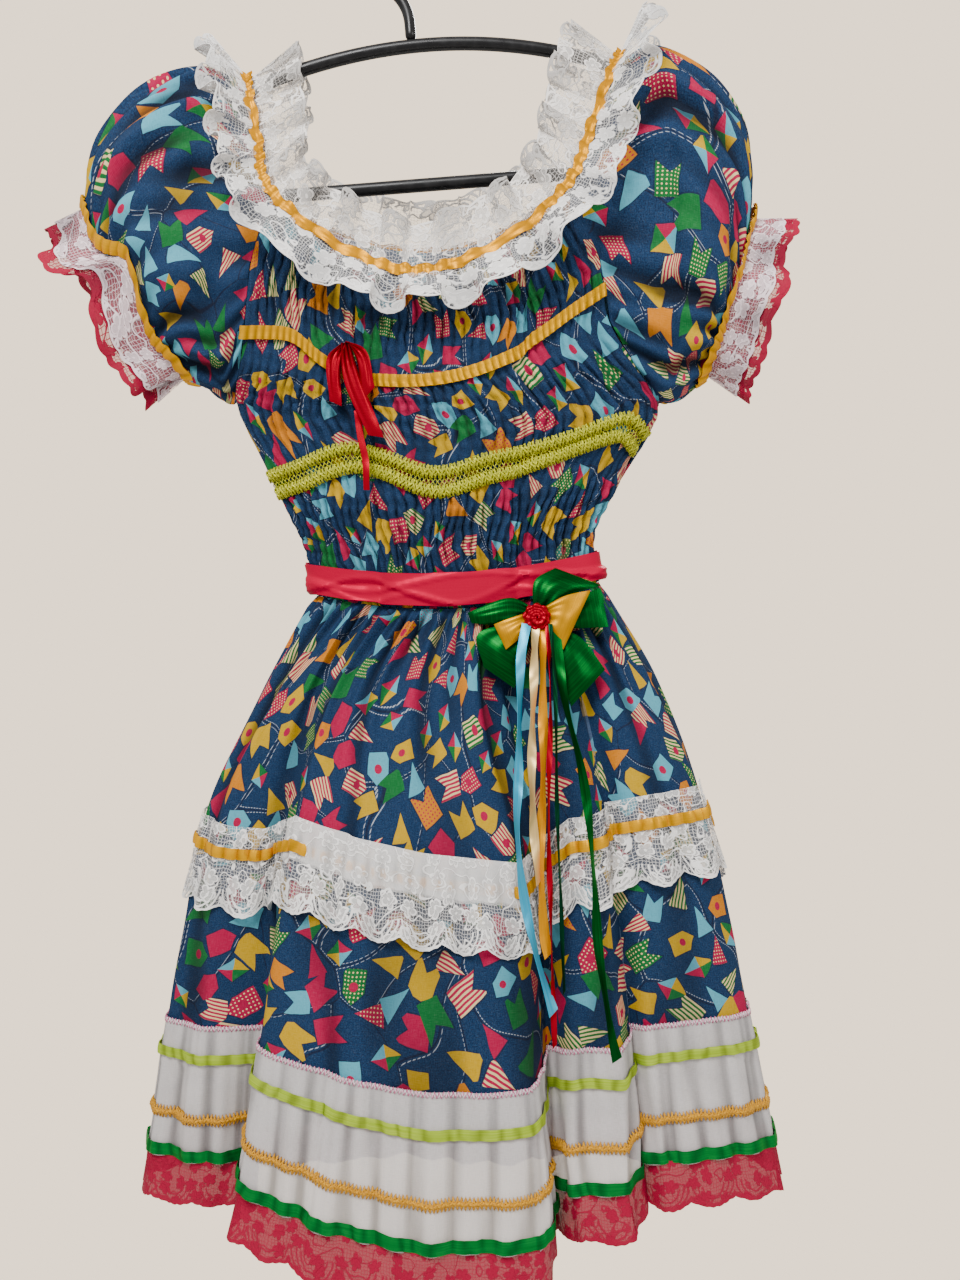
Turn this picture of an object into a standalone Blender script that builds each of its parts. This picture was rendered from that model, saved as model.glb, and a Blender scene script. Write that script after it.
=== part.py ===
"""Festa junina dress hanging on a black tubular hanger, with its belt, bows and streamers.

+X is to the right as the dress is seen from the front, the front faces -Y and +Z is up.
The origin is the inside top of the hanger's hook. Tables are in millimetres, meshes in metres.
Every cloth piece is a thin closed wall laid out on a grid of points: rows run down the garment
and columns run round it from its left side seam, over the front, to the right and the back.
"""

import math

import bpy
import numpy as np

MM = 0.001

# Walls and clearances, in millimetres
CLOTH = 1.2
TRIM = 1.0
BELT_CLOTH = 1.5
SEAM = 0.5
SEAM_REACH = 1.0
LAY = 0.6
RIB_LAY = 0.9
RIB = 1.2

# Hanger: a tube bent to an arc, two rounded ends and a lower bar, and a hook on a stem
TUBE_RADIUS = 5.2
TUBE_SIDES = 8
TUBE_STEPS = 36
ARC_TOP = -94.8
ARC_MIDDLE = 4.0
ARC_TILT = 0.1
ARC_FALL = 1.0 / 792.0
ARC_LEFT = -172.0
ARC_RIGHT = 184.0
BAR_LEFT = -160.0
BAR_RIGHT = 176.0
BAR_MIDDLE = -207.0
BAR_TILT = 0.079
HOOK_INNER = 22.0
HOOK_WIRE = 4.4
HOOK_SIDES = 8

# Columns of the grids
FRONT_COLUMNS = 40
BACK_COLUMNS = 16
LOOP_STEPS = 3
SEAM_STEPS = 3

# Neckline, a loop seen from above, from the front's middle round to the right shoulder and back.
# Columns: x, y, z, lower frill's direction x, y, z, upper frill's direction x, y, z
NECK = (
    (6, -40, -289, 0.0, -0.35, -0.94, 0.0, -0.10, 1.0),
    (71, -40, -268, 0.3, -0.35, -0.89, -0.25, -0.10, 0.96),
    (122, -36, -223, 0.7, -0.45, -0.55, -0.65, -0.15, 0.74),
    (143, -26, -172, 0.85, -0.50, -0.15, -0.85, -0.25, 0.45),
    (160, -13, -123, 0.85, -0.45, 0.25, -0.85, -0.30, 0.45),
    (170, 0, None, 0.60, 0.0, 0.80, -0.75, 0.0, 0.66),
    (162, 12, -119, 0.85, 0.40, 0.30, -0.85, 0.25, 0.45),
    (147, 16, -159, 0.85, 0.45, -0.10, -0.85, 0.15, 0.50),
    (121, 20, -206, 0.65, 0.45, -0.60, -0.55, 0.10, 0.83),
    (72, 22, -238, 0.3, 0.40, -0.87, -0.25, 0.10, 0.96),
    (15, 22, -253, 0.0, 0.40, -0.92, 0.0, 0.10, 1.0),
    (-51, 22, -242, -0.3, 0.40, -0.87, 0.25, 0.10, 0.96),
    (-108, 20, -214, -0.65, 0.45, -0.60, 0.55, 0.10, 0.83),
    (-120, 16, -171, -0.85, 0.45, -0.10, 0.85, 0.15, 0.50),
    (-127, 12, -137, -0.85, 0.40, 0.30, 0.85, 0.25, 0.45),
    (-130, 0, None, -0.68, 0.0, 0.73, 0.75, 0.0, 0.66),
    (-126, -13, -141, -0.85, -0.45, 0.25, 0.85, -0.30, 0.45),
    (-116, -26, -186, -0.85, -0.50, -0.15, 0.85, -0.25, 0.45),
    (-105, -36, -226, -0.7, -0.45, -0.55, 0.65, -0.15, 0.74),
    (-55, -40, -268, -0.3, -0.35, -0.89, 0.25, -0.10, 0.96),
)
RIGHT_CORNER = 2
RIGHT_BACK_CORNER = 8
LEFT_BACK_CORNER = 12
LEFT_CORNER = 18
SADDLE_LIFT = 3.0
FRILL = 38.0
FRILL_WAVE = 5.0
FRILL_PART = 2.2
NECK_RIBBON = 9.0

# Bodice, rows from the neckline down; the neckline's own row comes from the loop.
# Columns: left x, y, z, right x, y, z, middle y, z, roundness of the sides
FRONT_BODICE = (
    (-121, -34, -281, 148, -34, -276, -41, -329, 1.0),
    (-129, -24, -340, 157, -24, -322, -40, -370, 0.8),
    (-138, 0, -380, 198, 0, -384, -39, -405, 0.5),
    (-115, 0, -432, 178, 0, -420, -36, -438, 0.5),
    (-102, 0, -458, 166, 0, -447, -34, -464, 0.5),
    (-85, 0, -492, 147, 0, -484, -31, -500, 0.5),
    (-74, 0, -534, 151, 0, -523, -28, -545, 0.5),
)
BACK_BODICE = (
    (-121, 22, -275, 148, 22, -270, 24, -300, 1.0),
    (-130, 18, -335, 158, 18, -320, 24, -345, 0.8),
    (-138, 0, -380, 198, 0, -384, 24, -390, 0.5),
    (-102, 0, -458, 166, 0, -447, 22, -460, 0.5),
    (-85, 0, -492, 147, 0, -484, 20, -498, 0.5),
    (-74, 0, -534, 151, 0, -523, 18, -540, 0.5),
)
ARMPIT_ROW = 2
CHEST_ROW = 2
BRAID_TOP_ROW = 4
WAIST_ROW = 7
# Deep creases pressed into the front bodice: x at the neckline, x at the waist, depth
CREASES = ((-42, -20, 5.0), (92, 84, 5.0))
CREASE_WIDTH = 9.0
CHEST_RIBBON = (0.13, 0.16)
BELT_SHARES = (0.42, 0.94)

# Sleeves, rings from the shoulder out to the cuff.
# Columns: top x, z, bottom x, z, front depth, back depth
LEFT_SLEEVE = (
    (-160, -116, -145, -377, 34, 26),
    (-188, -122, -152, -374, 42, 30),
    (-218, -140, -160, -369, 46, 32),
    (-246, -172, -169, -364, 44, 32),
    (-256, -206, -176, -361, 36, 28),
    (-259, -226, -180, -360, 30, 26),
)
RIGHT_SLEEVE = (
    (190, -96, 203, -382, 34, 26),
    (214, -104, 210, -380, 42, 30),
    (243, -126, 218, -375, 46, 32),
    (265, -162, 226, -367, 44, 32),
    (271, -210, 232, -360, 36, 28),
    (269, -234, 236, -357, 30, 26),
)
CUFF_GATHER = 2.0
CUFF_RIBBON = 9.0
CUFF_INSET = 2.0
CUFF_WAVE = 4.5
RED_CUFF = 42.0
WHITE_CUFF = 24.0
# Direction in which each cuff's lace leaves the sleeve: at the top x, z, at the bottom x, z
LEFT_CUFF_WAY = (-0.87, -0.49, -0.90, -0.30)
RIGHT_CUFF_WAY = (0.98, 0.05, 0.90, -0.42)

# Front skirt, one row for each fold line from the left side seam to the right one.
# Columns: grid column, hip x, y, knee x, y, hem x, y, z
FRONT_FOLDS = (
    (0, -116, 0, -162, 0, -213, 0, -1003),
    (2, -113, -15, -158, -20, -203, -24, -1001),
    (5, -98, -28, -138, -38, -165, -46, -1000),
    (8, -74, -26, -99, -36, -116, -40, -999),
    (11, -62, -42, -80, -62, -122, -86, -1012),
    (15, -30, -50, -40, -72, -66, -106, -1018),
    (19, 12, -52, 8, -76, -5, -110, -1021),
    (23, 60, -48, 82, -68, 100, -97, -1026),
    (25, 76, -26, 99, -34, 112, -46, -1012),
    (27, 92, -40, 116, -55, 132, -72, -1010),
    (30, 120, -40, 143, -58, 170, -78, -1011),
    (31, 132, -28, 153, -38, 182, -46, -998),
    (33, 144, -35, 168, -50, 196, -64, -994),
    (36, 168, -32, 205, -44, 246, -54, -992),
    (38, 190, -18, 231, -24, 288, -28, -996),
    (40, 197, 0, 235, 0, 297, 0, -999),
)
# Back skirt, seen from behind from the right side seam to the left one
BACK_FOLDS = (
    (0, 197, 0, 235, 0, 297, 0, -999),
    (2, 184, 20, 222, 26, 272, 30, -997),
    (4, 150, 22, 178, 22, 212, 20, -995),
    (6, 112, 30, 132, 35, 152, 38, -998),
    (8, 64, 24, 62, 22, 60, 20, -999),
    (10, 8, 30, -6, 36, -24, 40, -1001),
    (12, -48, 23, -74, 22, -104, 21, -1000),
    (14, -96, 20, -140, 25, -186, 28, -1001),
    (16, -116, 0, -162, 0, -213, 0, -1003),
)
FOLD_LEVELS = (0.0, 0.16, 0.38, 1.0)
FOLD_TENSION = 0.3
GATHER = 2.6
GATHER_END = 0.4

# Heights on the skirt, as shares of the way from the waist seam to the lace's edge
SKIRT_ROWS = (0.0, 0.07, 0.2, 0.36, 0.5, 0.705, 0.757)
FLOUNCE_ROWS = (0.705, 0.757, 0.93)
HEM_LACE_ROWS = (0.932, 1.0)
LACE_ROWS = (0.36, 0.405, 0.5)
LACE_OFFSETS = (2.4, 0.95, 4.5)
LACE_WAVES = (1.2, 0.0, 2.6)
LACE_SCALLOP = 6.0
HEM_SCALLOP = 4.0
FLOUNCE_LAY = 0.6
LACE_RIBBON = (0.396, 0.414)
LIME_RIBBON = (0.750, 0.766)
GOLD_BRAID = (0.849, 0.865)
EMERALD_RIBBON = (0.908, 0.927)

# Bows: outline points x, z round each, then plane's y at the pivot height and thickness
BOW_PIVOT = -530.0
BOW_LEAN = 0.247
GREEN_OUTLINE = (
    (47, -551), (82, -531), (112, -515), (148, -530), (150, -545), (154, -559), (134, -567),
    (148, -592), (124, -619), (112, -612), (79, -604), (62, -589), (54, -565),
)
GOLD_OUTLINE = (
    (67, -561), (86, -550), (104, -539), (139, -532), (137, -551), (118, -577), (106, -564),
    (92, -563), (76, -577),
)
CHEST_OUTLINE = (
    (-55, -352), (-48, -344), (-33, -350), (-18, -368), (-13, -392), (-22, -396), (-30, -380),
    (-34, -392), (-44, -392), (-55, -372),
)
# Tail of the red bow. Columns: left x, right x, z
CHEST_TAIL = (
    (-42, -36, -392.8),
    (-36, -30, -406.0),
    (-32, -26, -420.0),
    (-29, -24, -434.0),
)
GREEN_PLANE = -30.2
GREEN_THICK = 8.0
GOLD_THICK = 6.0
CHEST_THICK = 6.0
CHEST_BACK = -42.1
BOW_EDGE = 0.25
BOW_INSET = 0.72
ROSETTE_PLACE = (99.0, -553.0)
ROSETTE_RADIUS = 10.6
ROSETTE_THICK = 8.0
ROSETTE_PETALS = 10
STREAMER_ROOM = 6.4

# Streamers hanging from the rosette: y of their common sheet at falling heights
HANG = ((-557, -48.1), (-600, -60.0), (-640, -69.0), (-700, -80.0), (-760, -89.0), (-800, -94.0), (-870, -104.0))
# Columns: name, colour name, width, layer, then the points x, z down its length
STREAMERS = (
    ("streamer_gold", "gold satin", 8.0, 0,
     ((104, -558), (103, -600), (102, -672), (100, -722), (102, -778), (105, -796))),
    ("streamer_cream", "cream satin", 7.0, 1,
     ((98, -558), (96, -600), (94, -650), (95, -705), (98, -745))),
    ("streamer_blue", "silver blue satin", 8.0, 2,
     ((91, -558), (86, -590), (84, -672), (83, -708), (88, -757), (97, -798), (108, -834))),
    ("streamer_red", "red satin", 4.0, 1,
     ((107, -558), (108, -620), (106, -700), (107, -791), (109, -857))),
    ("streamer_dark", "dark green satin", 3.0, 2,
     ((109, -558), (112, -620), (112, -700), (114, -760), (116, -820))),
    ("streamer_green", "green satin", 8.0, 0,
     ((113, -560), (119, -614), (132, -673), (138, -741), (141, -791), (149, -847), (153, -867))),
)
STREAMER_THICK = 1.0
STREAMER_LAYER = 2.0

# Colour, roughness and metallic value of each material
FINISHES = {
    "black plastic": ((0.012, 0.012, 0.014), 0.28, 0.0),
    "printed cotton": ((0.030, 0.075, 0.210), 0.85, 0.0),
    "white lace": ((0.85, 0.84, 0.80), 0.80, 0.0),
    "red lace": ((0.62, 0.015, 0.06), 0.75, 0.0),
    "gold satin": ((0.82, 0.50, 0.03), 0.35, 0.0),
    "crimson satin": ((0.68, 0.02, 0.07), 0.35, 0.0),
    "green satin": ((0.010, 0.22, 0.035), 0.32, 0.0),
    "lime satin": ((0.42, 0.66, 0.08), 0.40, 0.0),
    "emerald satin": ((0.010, 0.33, 0.10), 0.38, 0.0),
    "lime gold braid": ((0.55, 0.55, 0.05), 0.55, 0.1),
    "gold gimp": ((0.80, 0.45, 0.03), 0.60, 0.1),
    "white organza": ((0.74, 0.72, 0.70), 0.60, 0.0),
    "red satin": ((0.60, 0.02, 0.03), 0.35, 0.0),
    "silver blue satin": ((0.30, 0.62, 0.74), 0.35, 0.0),
    "cream satin": ((0.86, 0.80, 0.62), 0.38, 0.0),
    "dark green satin": ((0.01, 0.10, 0.04), 0.40, 0.0),
}


def clear_scene():
    """Empty the scene."""
    for item in list(bpy.data.objects):
        bpy.data.objects.remove(item, do_unlink=True)


def finish(name):
    """Material of one finish, made the first time it is asked for."""
    if name in bpy.data.materials:
        return bpy.data.materials[name]
    colour, roughness, metallic = FINISHES[name]
    material = bpy.data.materials.new(name)
    material.use_nodes = True
    shader = material.node_tree.nodes["Principled BSDF"]
    shader.inputs["Base Color"].default_value = (*colour, 1.0)
    shader.inputs["Roughness"].default_value = roughness
    shader.inputs["Metallic"].default_value = metallic
    return material


def add_object(name, points, faces, material):
    """One named object from points in millimetres."""
    mesh = bpy.data.meshes.new(name)
    mesh.from_pydata([tuple(MM * value for value in point) for point in points], [], faces)
    mesh.validate()
    mesh.materials.append(finish(material))
    mesh.shade_smooth()
    mesh.set_sharp_from_angle(angle=math.radians(50.0))
    item = bpy.data.objects.new(name, mesh)
    bpy.context.collection.objects.link(item)


def unit(vectors):
    """Vectors scaled to length one."""
    length = np.linalg.norm(vectors, axis=-1, keepdims=True)
    return vectors / np.maximum(length, 1e-9)


def curve_point(before, start, end, after, share, tension=0.5):
    """Point on a smooth span from start to end, whose slopes come from its neighbours."""
    leave = tension * (end - before)
    arrive = tension * (after - start)
    square = share * share
    cube = square * share
    return ((2 * cube - 3 * square + 1) * start + (cube - 2 * square + share) * leave
            + (3 * square - 2 * cube) * end + (cube - square) * arrive)


def smooth_path(points, steps, closed=False, tension=0.5):
    """Smooth curve through the points; steps is one number, or one for each span."""
    points = np.asarray(points, float)
    count = len(points)
    spans = count if closed else count - 1
    counts = [steps] * spans if isinstance(steps, int) else steps
    result = []
    for index in range(spans):
        start = points[index]
        end = points[(index + 1) % count]
        before = points[index - 1] if closed or index else 2 * start - end
        last_span = index == spans - 1 and not closed
        after = 2 * end - start if last_span else points[(index + 2) % count]
        for step in range(counts[index]):
            result.append(curve_point(before, start, end, after, step / counts[index], tension))
    if not closed:
        result.append(points[-1])
    return np.array(result)


def even_path(path, pieces):
    """The same open path as pieces of equal length."""
    along = np.concatenate([[0.0], np.cumsum(np.linalg.norm(np.diff(path, axis=0), axis=1))])
    marks = np.linspace(0.0, along[-1], pieces + 1)
    return np.column_stack([np.interp(marks, along, path[:, axis]) for axis in range(3)])


def directions(grid, axis, closed):
    """Unit direction at each grid point along one axis, halfway between its two neighbours' ways."""
    step = unit(np.diff(grid, axis=axis))
    if closed:
        join = unit(grid.take([0], axis) - grid.take([-1], axis))
        after = np.concatenate([step, join], axis)
        before = np.concatenate([join, step], axis)
    else:
        after = np.concatenate([step, step.take([-1], axis)], axis)
        before = np.concatenate([step.take([0], axis), step], axis)
    return unit(before + after)


def outward(grid, closed):
    """Unit normals on the outer side of a grid, square to the side seam's plane where it ends there."""
    normals = unit(np.cross(directions(grid, 0, False), directions(grid, 1, closed)))
    if not closed:
        for edge in (0, -1):
            at_seam = np.abs(grid[:, edge, 1]) < SEAM_REACH
            normals[at_seam, edge, 1] = 0.0
    return unit(normals)


def shell(name, grid, low, high, material, closed=False, normals=None):
    """Closed wall between two heights, low and high, over a grid of points."""
    if normals is None:
        normals = outward(grid, closed)
    rows, columns = grid.shape[:2]
    low = np.broadcast_to(np.asarray(low, float), (rows, columns))[..., None]
    high = np.broadcast_to(np.asarray(high, float), (rows, columns))[..., None]
    outer = (grid + normals * high).reshape(-1, 3)
    inner = (grid + normals * low).reshape(-1, 3)
    below = rows * columns
    faces = []

    def at(row, column):
        return row * columns + column % columns

    across = columns if closed else columns - 1
    for row in range(rows - 1):
        for column in range(across):
            a, b = at(row, column), at(row, column + 1)
            c, d = at(row + 1, column + 1), at(row + 1, column)
            faces += [(a, d, c), (a, c, b)]
            faces += [(below + a, below + c, below + d), (below + a, below + b, below + c)]
    for column in range(across):
        a, b = at(0, column), at(0, column + 1)
        faces += [(a, b, below + b), (a, below + b, below + a)]
        a, b = at(rows - 1, column), at(rows - 1, column + 1)
        faces += [(a, below + b, b), (a, below + a, below + b)]
    if not closed:
        for row in range(rows - 1):
            a, d = at(row, 0), at(row + 1, 0)
            faces += [(a, below + a, below + d), (a, below + d, d)]
            a, d = at(row, columns - 1), at(row + 1, columns - 1)
            faces += [(a, below + d, below + a), (a, d, below + d)]
    return add_object(name, np.vstack([outer, inner]), faces, material)


def between(grid, levels, level):
    """Row of a grid at a level that lies between two of its own levels."""
    index = int(np.clip(np.searchsorted(levels, level) - 1, 0, len(levels) - 2))
    share = (level - levels[index]) / (levels[index + 1] - levels[index])
    return grid[index] + share * (grid[index + 1] - grid[index])


def rows_at(grid, levels, wanted):
    """Grid and normals at wanted levels, on the flat faces of a grid that has the given levels."""
    normals = outward(grid, False)
    return (np.array([between(grid, levels, level) for level in wanted]),
            unit(np.array([between(normals, levels, level) for level in wanted])))


def rod(name, path, radius, sides, closed, material):
    """Round bar along a path that lies in the XZ plane."""
    count = len(path)
    points = []
    for index in range(count):
        after = path[(index + 1) % count] if closed or index < count - 1 else path[index]
        before = path[index - 1] if closed or index else path[index]
        way = unit(after - before)
        side = np.cross(way, (0.0, 1.0, 0.0))
        for turn in range(sides):
            angle = 2.0 * math.pi * turn / sides
            points.append(path[index] + radius * (math.cos(angle) * side + math.sin(angle) * np.array((0, 1, 0))))
    faces = []
    for index in range(count if closed else count - 1):
        here, there = index * sides, (index + 1) % count * sides
        for turn in range(sides):
            after = (turn + 1) % sides
            faces.append((here + turn, there + turn, there + after, here + after))
    if not closed:
        faces.append(tuple(range(sides)))
        faces.append(tuple(reversed(range((count - 1) * sides, count * sides))))
    return add_object(name, points, faces, material)


def arc_height(x):
    """Height of the hanger arc's centre line at x."""
    across = x - ARC_MIDDLE
    return ARC_TOP + ARC_TILT * across - ARC_FALL * across * across


def bar_height(x):
    """Height of the lower bar's centre line at x."""
    return BAR_MIDDLE + BAR_TILT * x


def make_hanger():
    """Tube bent into one closed loop, and a hook whose stem stands on the arc."""
    loop = [(x, 0.0, arc_height(x)) for x in np.linspace(ARC_LEFT, ARC_RIGHT, 11)]
    end = np.array(loop[-1])
    start = np.array(loop[0])
    loop += [tuple(end + (18, 0, -11)), tuple(end + (27, 0, -32)), tuple(end + (23, 0, -58))]
    loop += [(x, 0.0, bar_height(x)) for x in np.linspace(BAR_RIGHT, BAR_LEFT, 6)]
    loop += [tuple(start + (-14, 0, -68)), tuple(start + (-29, 0, -40)), tuple(start + (-22, 0, -15))]
    smooth = smooth_path(loop, 6, closed=True)
    ring = even_path(np.vstack([smooth, smooth[:1]]), TUBE_STEPS)[:-1]
    rod("hanger_frame", ring, TUBE_RADIUS, TUBE_SIDES, True, "black plastic")
    middle = HOOK_INNER + HOOK_WIRE
    foot = arc_height(0.0) + TUBE_RADIUS + SEAM
    stem = [(1, 0, foot), (-1, 0, -72), (-6, 0, -60), (-17, 0, -46)]
    curl = [(-middle * math.cos(angle), 0, -HOOK_INNER + middle * math.sin(angle))
            for angle in np.radians(np.linspace(-12, 210, 9))]
    path = even_path(smooth_path(stem + curl, 6), 20)
    rod("hanger_hook", path, HOOK_WIRE, HOOK_SIDES, False, "black plastic")


def neck_loop():
    """Points of the neckline and the two frills' directions at each."""
    places = []
    for x, y, z in (row[:3] for row in NECK):
        top = arc_height(x) + TUBE_RADIUS + SADDLE_LIFT
        places.append((x, y, top if z is None else z))
    points = smooth_path(places, LOOP_STEPS, closed=True)
    lower = unit(smooth_path([row[3:6] for row in NECK], LOOP_STEPS, closed=True))
    upper = unit(smooth_path([row[6:9] for row in NECK], LOOP_STEPS, closed=True))
    return points, lower, upper


def loop_part(points, first, last):
    """Points of the neckline from one of its table rows to another, going round."""
    count = len(points)
    start = first * LOOP_STEPS
    steps = (last - first) % len(NECK) * LOOP_STEPS
    return np.array([points[(start + step) % count] for step in range(steps + 1)])


def section(left, right, middle_y, middle_z, roundness, pieces):
    """One level of a panel from its left edge to its right one, round at both."""
    left, right = np.array(left, float), np.array(right, float)
    sag = middle_z - 0.5 * (left[2] + right[2])
    path = []
    for turn in np.linspace(0.0, math.pi, 121):
        share = 0.5 * (1.0 - math.cos(turn))
        point = left + share * (right - left)
        swell = max(math.sin(math.pi * share), 0.0) ** roundness
        point[1] += (middle_y - point[1]) * swell
        point[2] += sag * 4.0 * share * (1.0 - share)
        path.append(point)
    return even_path(np.array(path), pieces)


def bodice_grid(table, top, columns, face):
    """Rows of a bodice panel from the neckline to the waist, from its left edge to its right one."""
    rows = [even_path(top, columns)]
    for row in table:
        left, right = np.array(row[0:3], float), np.array(row[3:6], float)
        left[1] += face * 0.5 * SEAM
        right[1] += face * 0.5 * SEAM
        rows.append(section(left, right, row[6], row[7], row[8], columns))
    grid = np.array(rows)
    grid[:, 0, 0] += SEAM
    grid[:, -1, 0] -= SEAM
    return grid


def press_creases(grid):
    """Push the front bodice's deep creases inwards."""
    shares = np.linspace(0.0, 1.0, len(grid))[:, None]
    for top, bottom, depth in CREASES:
        middle = top + (bottom - top) * shares
        grid[..., 1] += depth * np.exp(-((grid[..., 0] - middle) / CREASE_WIDTH) ** 2)
    return grid


def ribs(grid):
    """Height of the shirring ribs over a bodice panel, on every other column below the neckline."""
    height = np.zeros(grid.shape[:2])
    height[1:, 1:-1:2] = RIB
    return height


def make_bodice(points):
    """Front and back bodice with the trims that lie on the front, and the belt round both."""
    front = press_creases(bodice_grid(FRONT_BODICE, loop_part(points, LEFT_CORNER, RIGHT_CORNER),
                                      FRONT_COLUMNS, -1))
    top = loop_part(points, RIGHT_BACK_CORNER, LEFT_BACK_CORNER)[::-1]
    back = bodice_grid(BACK_BODICE, top, BACK_COLUMNS, 1)[:, ::-1]
    shell("bodice_front", front, -CLOTH, ribs(front), "printed cotton")
    shell("bodice_back", back, -CLOTH, ribs(back), "printed cotton")
    levels = np.arange(len(front), dtype=float)
    lay = RIB + RIB_LAY
    chest = (CHEST_ROW - CHEST_RIBBON[0], CHEST_ROW + CHEST_RIBBON[1])
    grid, normals = rows_at(front, levels, chest)
    shell("chest_ribbon", grid, lay, lay + TRIM, "gold satin", normals=normals)
    grid, normals = rows_at(front, levels, (BRAID_TOP_ROW, BRAID_TOP_ROW + 1))
    shell("lime_braid", grid, lay, lay + TRIM, "lime gold braid", normals=normals)
    return front, back


def make_belt(front, back):
    """Satin ribbon round the waist, on the lowest part of both bodice panels."""
    front_levels = np.arange(len(front), dtype=float)
    back_levels = np.arange(len(back), dtype=float)
    heights = [WAIST_ROW - 1 + share for share in BELT_SHARES]
    front_grid, front_normals = rows_at(front, front_levels, heights)
    last = len(back) - 1
    drop = front[-1, 0, 2] - front[-2, 0, 2]
    back_drop = back[-1, 0, 2] - back[-2, 0, 2]
    back_heights = [last - (1.0 - share) * drop / back_drop for share in BELT_SHARES]
    back_grid, back_normals = rows_at(back, back_levels, back_heights)
    grid = np.concatenate([front_grid, back_grid[:, 1:-1]], 1)
    normals = np.concatenate([front_normals, back_normals[:, 1:-1]], 1)
    lay = RIB + RIB_LAY
    shell("belt", grid, lay, lay + BELT_CLOTH, "crimson satin", closed=True, normals=normals)


def armhole(points, side):
    """Inner ring of a sleeve, from the armpit up the front seam, over the shoulder and down the back."""
    corner, back_corner = (LEFT_CORNER, LEFT_BACK_CORNER) if side < 0 else (RIGHT_CORNER, RIGHT_BACK_CORNER)
    first = 0 if side < 0 else 3
    front_seam = [FRONT_BODICE[row][first:first + 3] for row in (ARMPIT_ROW, 1, 0)]
    back_seam = [BACK_BODICE[row][first:first + 3] for row in (0, 1, ARMPIT_ROW)]
    over = loop_part(points, back_corner, corner)[::-1] if side < 0 else loop_part(points, corner, back_corner)
    stops = [np.array(stop, float) for stop in front_seam] + [over[0]]
    ring = []
    for start, end in zip(stops, stops[1:]):
        ring += [start + (end - start) * step / SEAM_STEPS for step in range(SEAM_STEPS)]
    ring += list(over)
    stops = [over[-1]] + [np.array(stop, float) for stop in back_seam]
    for start, end in zip(stops, stops[1:]):
        ring += [start + (end - start) * step / SEAM_STEPS for step in range(1, SEAM_STEPS + 1)]
    ring = np.array(ring[:-1])
    ring[:, 0] += side * SEAM
    return ring


def sleeve_grid(table, ring, side):
    """Rings of a sleeve from the armhole to the cuff."""
    closed_ring = np.vstack([ring, ring[:1]])
    along = np.concatenate([[0.0], np.cumsum(np.linalg.norm(np.diff(closed_ring, axis=0), axis=1))])
    angles = 2.0 * math.pi * along[:-1] / along[-1]
    rows = [ring]
    for index, (top_x, top_z, bottom_x, bottom_z, front, back) in enumerate(table):
        rise = -np.cos(angles)[:, None]
        middle = 0.5 * np.array((top_x + bottom_x, 0.0, top_z + bottom_z))
        half = 0.5 * np.array((top_x - bottom_x, 0.0, top_z - bottom_z))
        row = middle + half * rise
        depth = np.where(np.sin(angles) > 0.0, front, back)
        gather = CUFF_GATHER * index / len(table) * np.sin(2.0 * math.pi * np.arange(len(ring)) / 3.0)
        row[:, 1] = -(depth + gather) * np.sin(angles)
        rows.append(row)
    grid = np.array(rows)
    return grid[:, ::-1] if side < 0 else grid


def make_sleeve(name, table, points, side, way):
    """One puff sleeve with the gold ribbon and the two laces at its cuff."""
    grid = sleeve_grid(table, armhole(points, side), side)
    shell(f"sleeve_{name}", grid, -CLOTH, 0.0, "printed cotton", closed=True)
    normals = outward(grid, True)
    last_length = np.linalg.norm(grid[-1] - grid[-2], axis=1)[:, None]
    share = np.minimum(CUFF_RIBBON / last_length, 0.9)
    inset = CUFF_INSET / last_length
    start = grid[-1] + share * (grid[-2] - grid[-1])
    end = grid[-1] + inset * (grid[-2] - grid[-1])
    start_normals = unit(normals[-1] + share * (normals[-2] - normals[-1]))
    shell(f"cuff_ribbon_{name}", np.array([start, end]), LAY, LAY + TRIM, "gold satin",
          closed=True, normals=np.array([start_normals, normals[-1]]))
    count = grid.shape[1]
    height = (grid[-1][:, 2] - grid[-1][:, 2].min()) / np.ptp(grid[-1][:, 2])
    bottom = np.array((way[2], 0.0, way[3]))
    top = np.array((way[0], 0.0, way[1]))
    leave = unit(bottom + height[:, None] * (top - bottom) + 0.25 * normals[-1])
    wave = np.sin(2.0 * math.pi * np.arange(count) / 3.0)[:, None]
    lean = unit(normals[-1])
    rows = []
    for reach in (SEAM, WHITE_CUFF, RED_CUFF):
        rows.append(grid[-1] + leave * reach + lean * (CUFF_WAVE * wave * reach / RED_CUFF - 0.4))
    lace = np.array(rows)
    lace_normals = outward(lace, True)
    shell(f"cuff_red_lace_{name}", lace, -TRIM, 0.0, "red lace", closed=True, normals=lace_normals)
    white_start = lace[0] + (lace[1] - lace[0]) * CUFF_INSET / WHITE_CUFF
    shell(f"cuff_lace_{name}", np.array([white_start, lace[1]]), LAY, LAY + TRIM, "white lace",
          closed=True, normals=lace_normals[:2])


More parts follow.
